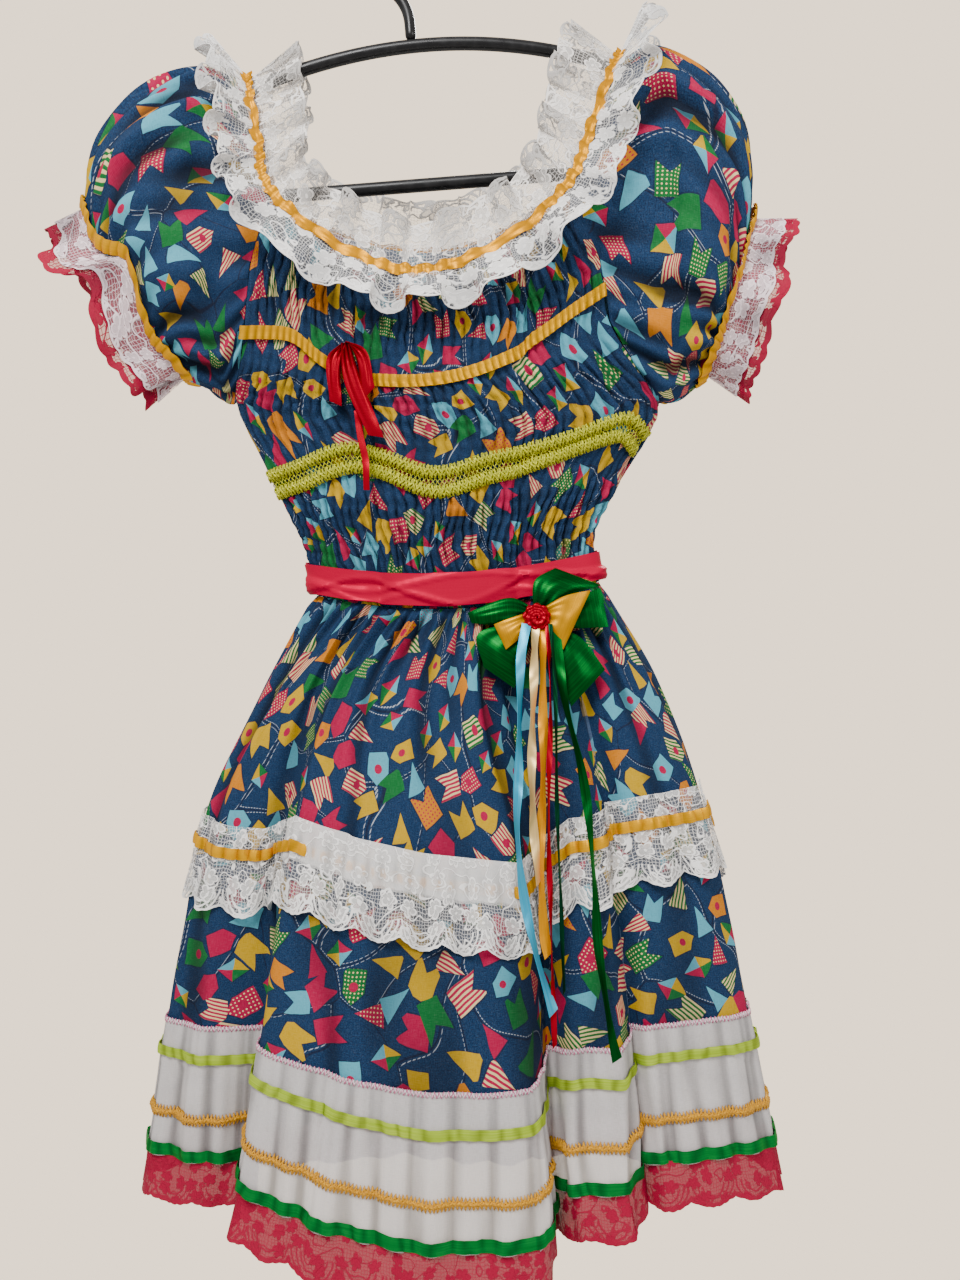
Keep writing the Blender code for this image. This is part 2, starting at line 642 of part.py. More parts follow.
def fold_rows(folds, waist, shares, columns):
    """Skirt rows at shares of the drop, through the fold lines, with fine gathers under the waist."""
    stops = [int(row[0]) for row in folds]
    counts = [after - before for before, after in zip(stops, stops[1:])]
    hem_z = np.interp(np.arange(columns + 1), stops, [row[7] for row in folds])
    levels = [waist[:, :2]]
    for first in (1, 3, 5):
        line = np.array([(row[first], row[first + 1], 0.0) for row in folds], float)
        levels.append(smooth_path(line, counts, tension=FOLD_TENSION)[:, :2])
    rows = []
    for share in shares:
        index = int(np.clip(np.searchsorted(FOLD_LEVELS, share) - 1, 0, len(FOLD_LEVELS) - 2))
        part = (share - FOLD_LEVELS[index]) / (FOLD_LEVELS[index + 1] - FOLD_LEVELS[index])
        flat = levels[index] + part * (levels[index + 1] - levels[index])
        height = waist[:, 2] + share * (hem_z - waist[:, 2])
        rows.append(np.column_stack([flat, height]))
    grid = np.array(rows)
    normals = outward(grid, False)
    strength = np.array([GATHER * max(0.0, 1.0 - share / GATHER_END) * (share > 0.0) for share in shares])
    sign = np.where(np.arange(columns + 1) % 2, 1.0, -1.0)
    sign[[0, -1]] = 0.0
    return grid + normals * (strength[:, None] * sign)[..., None]


def skirt_trim(name, grid, shares, wanted, low, thickness, material):
    """Strip laid on a skirt grid between two heights."""
    rows, normals = rows_at(grid, shares, wanted)
    shell(name, rows, low, low + thickness, material, normals=normals)


def make_skirt_face(face, folds, waist, columns):
    """Front or back of the skirt: print, lace frill, flounce and all the trims on them."""
    shares = sorted(set(SKIRT_ROWS + FLOUNCE_ROWS + HEM_LACE_ROWS))
    waist = waist.copy()
    waist[:, 2] -= SEAM
    grid = fold_rows(folds, waist, shares, columns)
    grid[:, 0, 1] += SEAM * (-0.5 if face == "front" else 0.5)
    grid[:, -1, 1] += SEAM * (-0.5 if face == "front" else 0.5)

    def part(wanted):
        picked = [shares.index(share) for share in wanted]
        return grid[picked], outward(grid, False)[picked]

    rows, normals = part(SKIRT_ROWS)
    shell(f"skirt_{face}", rows, -CLOTH, 0.0, "printed cotton", normals=normals)
    rows, normals = part(FLOUNCE_ROWS)
    shell(f"flounce_{face}", rows, FLOUNCE_LAY, FLOUNCE_LAY + TRIM, "white organza", normals=normals)
    rows, normals = part(HEM_LACE_ROWS)
    rows[-1, 1:-1:2, 2] += HEM_SCALLOP
    shell(f"hem_lace_{face}", rows, FLOUNCE_LAY, FLOUNCE_LAY + TRIM, "red lace", normals=normals)

    rows, normals = rows_at(grid, shares, LACE_ROWS)
    turn = np.sin(2.0 * math.pi * np.arange(columns + 1) / 3.0)
    turn[[0, -1]] = 0.0
    offsets = np.array(LACE_OFFSETS)[:, None] + np.array(LACE_WAVES)[:, None] * turn
    rows[-1, :, 2] += LACE_SCALLOP * np.abs(np.sin(math.pi * np.arange(columns + 1) / 4.0))
    shell(f"skirt_lace_{face}", rows, offsets, offsets + TRIM, "white lace", normals=normals)
    lace = np.array([between(offsets, LACE_ROWS, level) for level in LACE_RIBBON])
    skirt_trim(f"skirt_ribbon_{face}", grid, shares, LACE_RIBBON, lace + TRIM + LAY, TRIM, "gold satin")

    on_flounce = FLOUNCE_LAY + TRIM + RIB_LAY
    skirt_trim(f"lime_ribbon_{face}", grid, shares, LIME_RIBBON, on_flounce, TRIM, "lime satin")
    skirt_trim(f"gold_braid_{face}", grid, shares, GOLD_BRAID, on_flounce, TRIM, "gold gimp")
    skirt_trim(f"emerald_ribbon_{face}", grid, shares, EMERALD_RIBBON, on_flounce, TRIM, "emerald satin")


def make_neck_frills(points, lower, upper):
    """Upper and lower frill of the neck lace, and the ribbon over their gathering line."""
    count = len(points)
    tangent = unit(np.roll(points, -1, 0) - np.roll(points, 1, 0))
    wave = np.sin(2.0 * math.pi * np.arange(count) / LOOP_STEPS)[:, None]
    lift = unit(np.cross(lower, tangent))
    base = points + lift * LAY
    rows = [base + lower * reach + lift * (FRILL_WAVE * wave * reach / FRILL + 0.05 * reach)
            for reach in (0.0, 0.5 * FRILL, FRILL)]
    low_grid = np.array(rows)
    low_normals = outward(low_grid, True)
    shell("neck_frill_lower", low_grid, 0.0, TRIM, "white lace", closed=True, normals=low_normals)
    lean = unit(np.cross(upper, tangent))
    rows = [points + upper * (FRILL_PART + reach) + lean * FRILL_WAVE * wave * reach / FRILL
            for reach in (FRILL, 0.5 * FRILL, 0.0)]
    high_grid = np.array(rows)
    high_normals = outward(high_grid, True)
    shell("neck_frill_upper", high_grid, 0.0, TRIM, "white lace", closed=True, normals=high_normals)
    half = 0.5 * NECK_RIBBON
    bottom = low_grid[0] + (low_grid[1] - low_grid[0]) * (half / (0.5 * FRILL))
    top = high_grid[2] + (high_grid[1] - high_grid[2]) * (half / (0.5 * FRILL))
    over_low = bottom + low_normals[0] * (TRIM + RIB_LAY)
    over_high = top + high_normals[2] * (TRIM + RIB_LAY)
    ribbon = np.array([over_high, over_low])
    shell("neck_ribbon", ribbon, 0.0, TRIM, "gold satin", closed=True)


def cushion(name, outline, plane, thickness, material, lean=BOW_LEAN):
    """Puffed flat form with a given outline, leaning forward towards its foot."""
    outline = np.array(outline, float)
    ahead = np.roll(outline, -1, 0)
    if np.sum(outline[:, 0] * ahead[:, 1] - outline[:, 1] * ahead[:, 0]) < 0.0:
        outline = outline[::-1]
    centre = outline.mean(0)
    count = len(outline)
    rings = ((BOW_INSET, 0.5), (1.0, 0.5 * BOW_EDGE), (1.0, -0.5 * BOW_EDGE), (BOW_INSET, -0.5))
    points = []
    for size, height in rings:
        for x, z in centre + (outline - centre) * size:
            y = plane + lean * (z - BOW_PIVOT) - height * thickness
            points.append((x, y, z))
    faces = []
    for ring in range(3):
        for index in range(count):
            after = (index + 1) % count
            a, b = ring * count + index, ring * count + after
            faces.append((a, a + count, b + count, b))
    faces.append(tuple(range(count)))
    faces.append(tuple(reversed(range(3 * count, 4 * count))))
    add_object(name, points, faces, material)


def make_bows():
    """Green bow on the belt, gold bow on it, the rosette, and the red bow at the neck front."""
    cushion("green_bow", GREEN_OUTLINE, GREEN_PLANE, GREEN_THICK, "green satin")
    gold_plane = GREEN_PLANE - 0.5 * (GREEN_THICK + GOLD_THICK) - SEAM
    cushion("gold_bow", GOLD_OUTLINE, gold_plane, GOLD_THICK, "gold satin")
    x, z = ROSETTE_PLACE
    front = gold_plane - 0.5 * (GOLD_THICK + ROSETTE_THICK) - STREAMER_ROOM
    petals = []
    for step in range(2 * ROSETTE_PETALS):
        radius = ROSETTE_RADIUS * (1.0 if step % 2 else 0.86)
        angle = -math.pi * step / ROSETTE_PETALS
        petals.append((x + radius * math.cos(angle), z + radius * math.sin(angle)))
    cushion("rosette", petals, front, ROSETTE_THICK, "red satin")
    chest_plane = CHEST_BACK - 0.5 * CHEST_THICK
    cushion("chest_bow", CHEST_OUTLINE, chest_plane, CHEST_THICK, "red satin", lean=0.0)


def surface_y(grid, x, z):
    """Depth of a front panel's surface at x and z."""
    heights = [np.interp(x, row[:, 0], row[:, 2]) for row in grid]
    depths = [np.interp(x, row[:, 0], row[:, 1]) for row in grid]
    return np.interp(z, heights[::-1], depths[::-1])


def make_chest_tail(front):
    """Tail of the red bow, from the bow's lower edge down over the front bodice's ribs."""
    rows = []
    for left, right, z in CHEST_TAIL:
        depth = min(surface_y(front, x, z) for x in (left, right)) - RIB - RIB_LAY
        rows.append([(left, depth, z), (right, depth, z)])
    tail = np.array(rows, float)
    tail[0, :, 1] = CHEST_BACK - 0.5 * (CHEST_THICK - STREAMER_THICK)
    shell("chest_bow_tail", tail, 0.0, STREAMER_THICK, "red satin")


def make_streamers():
    """Ribbons that hang from under the rosette, in three layers."""
    heights = [row[0] for row in HANG][::-1]
    depths = [row[1] for row in HANG][::-1]
    for name, colour, width, layer, places in STREAMERS:
        path = even_path(smooth_path([(x, 0.0, z) for x, z in places], 6), 9)
        path[:, 1] = np.interp(path[:, 2], heights, depths) - layer * STREAMER_LAYER
        half = np.array((0.5 * width, 0.0, 0.0))
        grid = np.stack([path - half, path + half], 1)
        shell(name, grid, 0.0, STREAMER_THICK, colour)


def main():
    """Build the whole garment."""
    clear_scene()
    make_hanger()
    points, lower, upper = neck_loop()
    front, back = make_bodice(points)
    make_belt(front, back)
    make_sleeve("left", LEFT_SLEEVE, points, -1, LEFT_CUFF_WAY)
    make_sleeve("right", RIGHT_SLEEVE, points, 1, RIGHT_CUFF_WAY)
    make_skirt_face("front", FRONT_FOLDS, front[-1], FRONT_COLUMNS)
    make_skirt_face("back", BACK_FOLDS, back[-1], BACK_COLUMNS)
    make_neck_frills(points, lower, upper)
    make_bows()
    make_chest_tail(front)
    make_streamers()


main()
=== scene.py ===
import logging
import math
from dataclasses import dataclass, replace
from enum import Enum
from typing import ClassVar

import bpy
import numpy as np
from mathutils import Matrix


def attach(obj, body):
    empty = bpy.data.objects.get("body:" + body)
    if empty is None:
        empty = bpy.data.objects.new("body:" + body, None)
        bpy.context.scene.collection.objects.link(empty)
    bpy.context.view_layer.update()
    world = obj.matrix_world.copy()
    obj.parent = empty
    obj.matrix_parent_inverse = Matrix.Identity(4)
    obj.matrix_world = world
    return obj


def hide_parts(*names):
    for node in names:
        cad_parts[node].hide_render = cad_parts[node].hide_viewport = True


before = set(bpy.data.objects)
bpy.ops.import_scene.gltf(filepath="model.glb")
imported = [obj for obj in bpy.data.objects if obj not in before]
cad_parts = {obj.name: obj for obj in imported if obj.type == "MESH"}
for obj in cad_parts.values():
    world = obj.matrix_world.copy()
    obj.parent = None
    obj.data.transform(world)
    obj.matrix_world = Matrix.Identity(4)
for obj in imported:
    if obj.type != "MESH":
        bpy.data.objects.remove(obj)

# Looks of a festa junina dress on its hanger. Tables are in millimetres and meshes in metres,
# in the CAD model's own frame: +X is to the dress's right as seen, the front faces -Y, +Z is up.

Array = np.ndarray
Socket = bpy.types.NodeSocket
LOG = logging.getLogger("dress")
MM = 0.001
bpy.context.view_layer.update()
UV_NAME = "cloth"
FACING = "facing"
FOLD_SHADE = "fold_shade"


# ---------- tables ----------

# Neckline stations: x, y, z, lower frill's direction x, y, z, upper frill's direction x, y, z
NECK = (
    (6, -40, -289, 0.0, -0.35, -0.94, 0.0, -0.10, 1.0),
    (71, -40, -268, 0.3, -0.35, -0.89, -0.25, -0.10, 0.96),
    (122, -36, -223, 0.7, -0.45, -0.55, -0.65, -0.15, 0.74),
    (143, -26, -172, 0.85, -0.50, -0.15, -0.85, -0.25, 0.45),
    (160, -13, -123, 0.85, -0.45, 0.25, -0.85, -0.30, 0.45),
    (170, 0, None, 0.60, 0.0, 0.80, -0.75, 0.0, 0.66),
    (162, 12, -119, 0.85, 0.40, 0.30, -0.85, 0.25, 0.45),
    (147, 16, -159, 0.85, 0.45, -0.10, -0.85, 0.15, 0.50),
    (121, 20, -206, 0.65, 0.45, -0.60, -0.55, 0.10, 0.83),
    (72, 22, -238, 0.3, 0.40, -0.87, -0.25, 0.10, 0.96),
    (15, 22, -253, 0.0, 0.40, -0.92, 0.0, 0.10, 1.0),
    (-51, 22, -242, -0.3, 0.40, -0.87, 0.25, 0.10, 0.96),
    (-108, 20, -214, -0.65, 0.45, -0.60, 0.55, 0.10, 0.83),
    (-120, 16, -171, -0.85, 0.45, -0.10, 0.85, 0.15, 0.50),
    (-127, 12, -137, -0.85, 0.40, 0.30, 0.85, 0.25, 0.45),
    (-130, 0, None, -0.80, 0.0, 0.60, 0.75, 0.0, 0.66),
    (-126, -13, -141, -0.85, -0.45, 0.25, 0.85, -0.30, 0.45),
    (-116, -26, -186, -0.85, -0.50, -0.15, 0.85, -0.25, 0.45),
    (-105, -36, -226, -0.7, -0.45, -0.55, 0.65, -0.15, 0.74),
    (-55, -40, -268, -0.3, -0.35, -0.89, 0.25, -0.10, 0.96),
)
# Bodice rows from the neckline down: left x, y, z, right x, y, z, middle y, z, roundness of the sides
FRONT_BODICE = (
    (-121, -34, -281, 148, -34, -276, -41, -329, 1.0),
    (-129, -24, -340, 157, -24, -322, -40, -370, 0.8),
    (-138, 0, -380, 198, 0, -384, -39, -405, 0.5),
    (-115, 0, -432, 178, 0, -420, -36, -438, 0.5),
    (-102, 0, -458, 166, 0, -447, -34, -464, 0.5),
    (-85, 0, -492, 147, 0, -484, -31, -500, 0.5),
    (-74, 0, -534, 151, 0, -523, -28, -545, 0.5),
)
BACK_BODICE = (
    (-121, 22, -275, 148, 22, -270, 24, -300, 1.0),
    (-130, 18, -335, 158, 18, -320, 24, -345, 0.8),
    (-138, 0, -380, 198, 0, -384, 24, -390, 0.5),
    (-102, 0, -458, 166, 0, -447, 22, -460, 0.5),
    (-85, 0, -492, 147, 0, -484, 20, -498, 0.5),
    (-74, 0, -534, 151, 0, -523, 18, -540, 0.5),
)
# Deep creases of the front bodice: x at the neckline, x at the waist, depth
CREASES = ((-42, -20, 5.0), (92, 84, 5.0))
# Sleeve rings from the shoulder to the cuff: top x, z, bottom x, z, front depth, back depth
LEFT_SLEEVE = (
    (-160, -116, -145, -377, 34, 26),
    (-188, -122, -152, -374, 42, 30),
    (-218, -140, -160, -369, 46, 32),
    (-246, -172, -169, -364, 44, 32),
    (-256, -206, -176, -361, 36, 28),
    (-259, -226, -180, -360, 30, 26),
)
RIGHT_SLEEVE = (
    (190, -96, 203, -382, 34, 26),
    (214, -104, 210, -380, 42, 30),
    (243, -126, 218, -375, 46, 32),
    (265, -162, 226, -367, 44, 32),
    (271, -210, 232, -360, 36, 28),
    (269, -234, 236, -357, 30, 26),
)
# Skirt fold lines: grid column, hip x, y, knee x, y, hem x, y, z
FRONT_FOLDS = (
    (0, -116, 0, -162, 0, -213, 0, -1003),
    (2, -113, -15, -158, -20, -203, -24, -1001),
    (5, -98, -28, -138, -38, -165, -46, -1000),
    (8, -74, -26, -99, -36, -116, -40, -999),
    (11, -62, -42, -80, -62, -122, -86, -1012),
    (15, -30, -50, -40, -72, -66, -106, -1018),
    (19, 12, -52, 8, -76, -5, -110, -1021),
    (23, 60, -48, 82, -68, 100, -97, -1026),
    (25, 76, -26, 99, -34, 112, -46, -1012),
    (27, 92, -40, 116, -55, 132, -72, -1010),
    (30, 120, -40, 143, -58, 170, -78, -1011),
    (31, 132, -28, 153, -38, 182, -46, -998),
    (33, 144, -35, 168, -50, 196, -64, -994),
    (36, 168, -32, 205, -44, 246, -54, -992),
    (38, 190, -18, 231, -24, 288, -28, -996),
    (40, 197, 0, 235, 0, 297, 0, -999),
)
BACK_FOLDS = (
    (0, 197, 0, 235, 0, 297, 0, -999),
    (2, 184, 20, 222, 26, 272, 30, -997),
    (4, 150, 22, 178, 22, 212, 20, -995),
    (6, 112, 30, 132, 35, 152, 38, -998),
    (8, 64, 24, 62, 22, 60, 20, -999),
    (10, 8, 30, -6, 36, -24, 40, -1001),
    (12, -48, 23, -74, 22, -104, 21, -1000),
    (14, -96, 20, -140, 25, -186, 28, -1001),
    (16, -116, 0, -162, 0, -213, 0, -1003),
)
FOLD_LEVELS = (0.0, 0.16, 0.38, 1.0)
# Slope of the front's white lace: column of the folds above, then how far down it is sewn, as a share of the drop
FOOT_LINE = ((0, 0.0), (8, 0.0), (11, -8.0), (15, 2.0), (20, 17.0), (23, 15.0), (26, 5.0), (28, 0.0), (40, 0.0))
LACE_LINE = ((0, 0.0), (7, 0.018), (11, -0.024), (17, 0.006), (23, 0.036), (25, 0.030), (28, -0.012), (33, -0.020), (40, -0.028))
# Bow lobes, x and z of: root a, root b, middle a, middle b, tip a, tip b, then the bulge
GREEN_LOBES = (
    ((98, -546), (98, -557), (78, -538), (76, -559), (47, -549), (50, -557), 7.0),
    ((97, -546), (106, -549), (98, -525), (126, -535), (114, -514.5), (149, -528), 7.0),
    ((108, -548), (108, -560), (130, -537), (124, -561), (149, -530), (154, -560), 3.0),
    ((93, -556), (97, -563), (55, -565), (91, -582), (59, -590), (82, -606), 6.0),
    ((111, -561), (107, -566), (132, -568), (114, -592), (150.5, -592), (124.5, -619.5), 5.0),
)
GOLD_LOBES = (
    ((104, -546), (104, -560), (120, -537), (112, -566), (140, -532), (118.5, -577), 6.5),
    ((96, -549), (95, -558), (84, -552), (86, -568), (67, -558), (76, -577), 5.0),
)
CHEST_LOBES = (
    ((-49, -345), (-43, -344), (-46, -376), (-35, -371), (-29, -414), (-17, -416), 3.5),
    ((-50, -346), (-45, -345), (-60, -358), (-50, -366), (-58, -388), (-49, -392), 3.0),
    ((-46, -344), (-42, -346), (-30, -352), (-36, -362), (-24, -378), (-33, -388), 3.5),
)
# Tail of the chest bow: x, z
CHEST_TAIL = ((-37, -396), (-35, -415), (-31, -434), (-30, -456))
# Lines of the chest ribbon and of the crochet braid on the front: x and the level between bodice rows
CHEST_LINE = ((-138, 1.90), (-112, 1.70), (-88, 1.60), (-66, 1.80), (-40, 2.02), (20, 2.05), (70, 1.92), (100, 1.72),
              (130, 1.55), (160, 1.50))
BRAID_LINE = ((-112, 4.55), (-90, 4.30), (-34, 3.75), (20, 4.40), (60, 4.10), (95, 3.85), (147, 3.35), (165, 3.55),
              (185, 4.05))
# y of the streamers' common sheet at falling heights: z, y
HANG = ((-557, -48.1), (-600, -60.0), (-640, -69.0), (-700, -80.0), (-760, -89.0), (-800, -94.0), (-870, -104.0))


class Held(Enum):
    """How a sheet of cloth is held."""

    HUNG = "hung"
    GATHERED = "gathered"
    LAID = "laid"
    FOLDED = "folded"


class Slot(Enum):
    """Material slots of the record."""

    HANGER = "hanger_plastic"
    COTTON = "printed_cotton"
    WHITE_LACE = "white_lace"
    RED_LACE = "red_lace"
    GOLD = "gold_satin"
    CRIMSON = "crimson_satin"
    RED = "red_satin"
    GREEN = "green_satin"
    DARK_GREEN = "dark_green_satin"
    CREAM = "cream_satin"
    BLUE = "silver_blue_satin"
    BRAID = "lime_gold_braid"
    LIME = "lime_satin"
    GIMP = "gold_gimp"
    EMERALD = "emerald_satin"
    ORGANZA = "white_organza"


# ---------- shapes ----------

def unit(vectors: Array) -> Array:
    """Vectors scaled to length one."""
    return vectors / np.maximum(np.linalg.norm(vectors, axis=-1, keepdims=True), 1e-9)


def curve_point(before: Array, start: Array, end: Array, after: Array, share: float,
                tension: float = 0.5) -> Array:
    """Point on a smooth span from start to end.

    Args:
        before: Stop ahead of the span.
        start: First end of the span.
        end: Last end of the span.
        after: Stop behind the span.
        share: Share of the way, 0 to 1.
        tension: How far the neighbours set the slopes.

    Returns:
        The point, or a whole row of points.
    """
    leave, arrive = tension * (end - before), tension * (after - start)
    square = share * share
    cube = square * share
    return ((2 * cube - 3 * square + 1) * start + (cube - 2 * square + share) * leave
            + (3 * square - 2 * cube) * end + (cube - square) * arrive)


def smooth_path(points: Array, steps: int | list[int], closed: bool = False, tension: float = 0.5) -> Array:
    """Smooth curve through points, or smooth cloth through rows of points.

    Args:
        points: Stops of the curve.
        steps: Steps of every span, or one number for each span.
        closed: Whether the last stop joins the first.
        tension: How far the neighbours set the slopes.

    Returns:
        The dense points.
    """
    points = np.asarray(points, float)
    count = len(points)
    spans = count if closed else count - 1
    counts = [steps] * spans if isinstance(steps, int) else steps
    result = []
    for index in range(spans):
        start, end = points[index], points[(index + 1) % count]
        before = points[index - 1] if closed or index else 2 * start - end
        after = 2 * end - start if index == spans - 1 and not closed else points[(index + 2) % count]
        for step in range(counts[index]):
            result.append(curve_point(before, start, end, after, step / counts[index], tension))
    if not closed:
        result.append(points[-1])
    return np.array(result)


def lengths_along(path: Array) -> Array:
    """Length along a path up to each of its points."""
    return np.concatenate([[0.0], np.cumsum(np.linalg.norm(np.diff(path, axis=0), axis=1))])


def even_path(path: Array, pieces: int) -> Array:
    """The same open path as pieces of equal length."""
    along = lengths_along(path)
    marks = np.linspace(0.0, along[-1], pieces + 1)
    return np.column_stack([np.interp(marks, along, path[:, axis]) for axis in range(path.shape[1])])


def wander(u: Array, v: Array, seed: int, size: float) -> Array:
    """Smooth unevenness of hand-gathered cloth, from about -1 to 1.

    Args:
        u: Place across, in millimetres.
        v: Place down, in millimetres.
        seed: Fixed seed of the pattern.
        size: Length of its swells, in millimetres.

    Returns:
        One value for each place.
    """
    rng = np.random.default_rng(seed)
    total = np.zeros(np.broadcast(u, v).shape)
    for _ in range(6):
        angle = rng.uniform(0.0, 2.0 * math.pi)
        pace = 2.0 * math.pi * rng.uniform(0.6, 1.6) / size
        total = total + np.sin(pace * (u * math.cos(angle) + v * math.sin(angle)) + rng.uniform(0.0, 2.0 * math.pi))
    return total / 3.0


@dataclass
class Surface:
    """Grid of points in millimetres: rows run down the garment and columns across it."""

    points: Array
    levels: Array
    closed: bool = False

    def directions(self, axis: int) -> Array:
        """Unit direction at each point along one axis."""
        grid = self.points
        step = unit(np.diff(grid, axis=axis))
        if self.closed and axis == 1:
            join = unit(grid.take([0], axis) - grid.take([-1], axis))
            return unit(np.concatenate([step, join], axis) + np.concatenate([join, step], axis))
        return unit(np.concatenate([step, step.take([-1], axis)], axis)
                    + np.concatenate([step.take([0], axis), step], axis))

    def normals(self) -> Array:
        """Unit normals on the outer side, level with the side seams where the grid ends there."""
        normals = unit(np.cross(self.directions(0), self.directions(1)))
        if not self.closed:
            for edge in (0, -1):
                at_seam = np.abs(self.points[:, edge, 1]) < 1.0
                normals[at_seam, edge, 1] = 0.0
        return unit(normals)

    def raised(self, height: Array | float) -> "Surface":
        """The grid moved outwards by a height at each point."""
        height = np.broadcast_to(np.asarray(height, float), self.points.shape[:2])
        return Surface(self.points + self.normals() * height[..., None], self.levels, self.closed)

    def rows(self, wanted: Array) -> "Surface":
        """Rows at other levels of the same grid."""
        flat = self.points.reshape(len(self.levels), -1)
        picked = np.column_stack([np.interp(wanted, self.levels, flat[:, column]) for column in range(flat.shape[1])])
        return Surface(picked.reshape(len(wanted), *self.points.shape[1:]), np.asarray(wanted), self.closed)

    def at_levels(self, level: Array) -> Array:
        """One point in each column, at that column's own level."""
        level = np.clip(level, self.levels[0], self.levels[-1])
        spot = np.clip(np.searchsorted(self.levels, level) - 1, 0, len(self.levels) - 2)
        share = (level - self.levels[spot]) / (self.levels[spot + 1] - self.levels[spot])
        column = np.arange(self.points.shape[1])
        return self.points[spot, column] * (1.0 - share[:, None]) + self.points[spot + 1, column] * share[:, None]

    def places(self) -> tuple[Array, Array]:
        """Millimetres across and down at each point, measured along the cloth."""
        grid = self.points
        across = np.linalg.norm(np.diff(grid, axis=1), axis=2).mean(0)
        down = np.linalg.norm(np.diff(grid, axis=0), axis=2).mean(1)
        u = np.concatenate([[0.0], np.cumsum(across)])
        v = np.concatenate([[0.0], np.cumsum(down)])
        return np.meshgrid(u, v)


def cloth_map(surface: Surface, gather: float = 1.0, widest: bool = False, from_foot: bool = False) -> Array:
    """Where each point lies on the flat cloth, in millimetres, with a last column that closes a ring.

    Args:
        surface: The grid.
        gather: Flat width over gathered width.
        widest: Whether the longest row gives the width.
        from_foot: Whether lengths run up from the lowest row.

    Returns:
        Array of rows by columns, plus one column where closed, by two.
    """
    grid = surface.points
    if surface.closed:
        grid = np.concatenate([grid, grid[:, :1]], 1)
    across = np.linalg.norm(np.diff(grid, axis=1), axis=2)
    pick = across[np.argmax(across.sum(1))] if widest else across.mean(0)
    down = np.linalg.norm(np.diff(grid, axis=0), axis=2).mean(1)
    u = np.concatenate([[0.0], np.cumsum(pick)]) * gather
    v = np.concatenate([[0.0], np.cumsum(down)])
    if from_foot:
        v = v[-1] - v
    return np.stack(np.meshgrid(u, v), -1)


def by_lobes(cloth: Array, phase: Array, lobe: float) -> Array:
    """The same places with their length along the edge counted in scallops, each half a turn of the phase."""
    row = phase
    if cloth.shape[1] > len(phase):
        row = np.append(phase, phase[-1] + (phase[-1] - phase[0]) / (len(phase) - 1))
    cloth[..., 0] = row * lobe / math.pi
    return cloth


def wall(name: str, surface: Surface, low: Array | float, high: Array | float, cloth: Array,
         finishes: list["Finish"], fold_shade: Array | float = 0.0) -> bpy.types.Object:
    """Closed thin wall between two heights over a grid.

    Args:
        name: Name of the piece.
        surface: Grid that the wall lies on.
        low: Height of its inner side, in millimetres.
        high: Height of its outer side, in millimetres.
        cloth: Places on the flat cloth, from cloth_map.
        finishes: Finish of the outer side, and of the inner side where it differs.
        fold_shade: Painted shade of each point where it lies in a fold, 0 to 1.

    Returns:
        The new object.
    """
    rows, columns = surface.points.shape[:2]
    normals = surface.normals()
    low = np.broadcast_to(np.asarray(low, float), (rows, columns))[..., None]
    high = np.broadcast_to(np.asarray(high, float), (rows, columns))[..., None]
    points = np.concatenate([(surface.points + normals * high).reshape(-1, 3),
                             (surface.points + normals * low).reshape(-1, 3)])
    below = rows * columns
    across = columns if surface.closed else columns - 1
    row, column = np.meshgrid(np.arange(rows - 1), np.arange(across), indexing="ij")
    row, column = row.ravel(), column.ravel()

    def at(r: Array, c: Array) -> Array:
        """Index of an outer point."""
        return r * columns + c % columns

    corner = [(row, column), (row + 1, column), (row + 1, column + 1), (row, column + 1)]
    outer = np.stack([at(r, c) for r, c in corner], 1)
    outer_cloth = np.stack([cloth[r, c] for r, c in corner], 1)
    faces, maps = [outer, outer[:, ::-1] + below], [outer_cloth, outer_cloth[:, ::-1]]
    sides = [len(outer), len(outer)]
    side = np.arange(across)
    top = [(side * 0, side), (side * 0, side + 1)]
    foot = [(side * 0 + rows - 1, side + 1), (side * 0 + rows - 1, side)]
    rims = [top, foot]
    if not surface.closed:
        down = np.arange(rows - 1)
        rims += [[(down + 1, down * 0), (down, down * 0)], [(down, down * 0 + columns - 1), (down + 1, down * 0 + columns - 1)]]
    for first, second in rims:
        a, b = at(*first), at(*second)
        faces.append(np.stack([a, b, b + below, a + below], 1))
        ends = [cloth[first], cloth[second], cloth[second], cloth[first]]
        maps.append(np.stack(ends, 1))
        sides.append(len(a))
    faces_all, maps_all = np.concatenate(faces), np.concatenate(maps)
    mesh = bpy.data.meshes.new(name)
    mesh.from_pydata((points * MM).tolist(), [], faces_all.tolist())
    layer = mesh.uv_layers.new(name=UV_NAME)
    layer.data.foreach_set("uv", (maps_all.reshape(-1) * MM).astype(np.float32))
    # Painted fold shade of each point, kept on both layers as a point attribute that darkens the finishes' colour.
    depth = np.clip(np.broadcast_to(fold_shade, (rows, columns)), 0.0, 1.0).ravel()
    mesh.attributes.new(FOLD_SHADE, "FLOAT", "POINT").data.foreach_set("value", np.tile(depth, 2).astype(np.float32))
    for finish in finishes:
        mesh.materials.append(finish.material())
    if len(finishes) > 1:
        index = np.zeros(len(faces_all), np.int32)
        index[sides[0]:sides[0] + sides[1]] = 1
        mesh.polygons.foreach_set("material_index", index)
    mesh.shade_smooth()
    mesh.set_sharp_from_angle(angle=math.radians(60.0))
    item = bpy.data.objects.new(name, mesh)
    bpy.context.collection.objects.link(item)
    return item


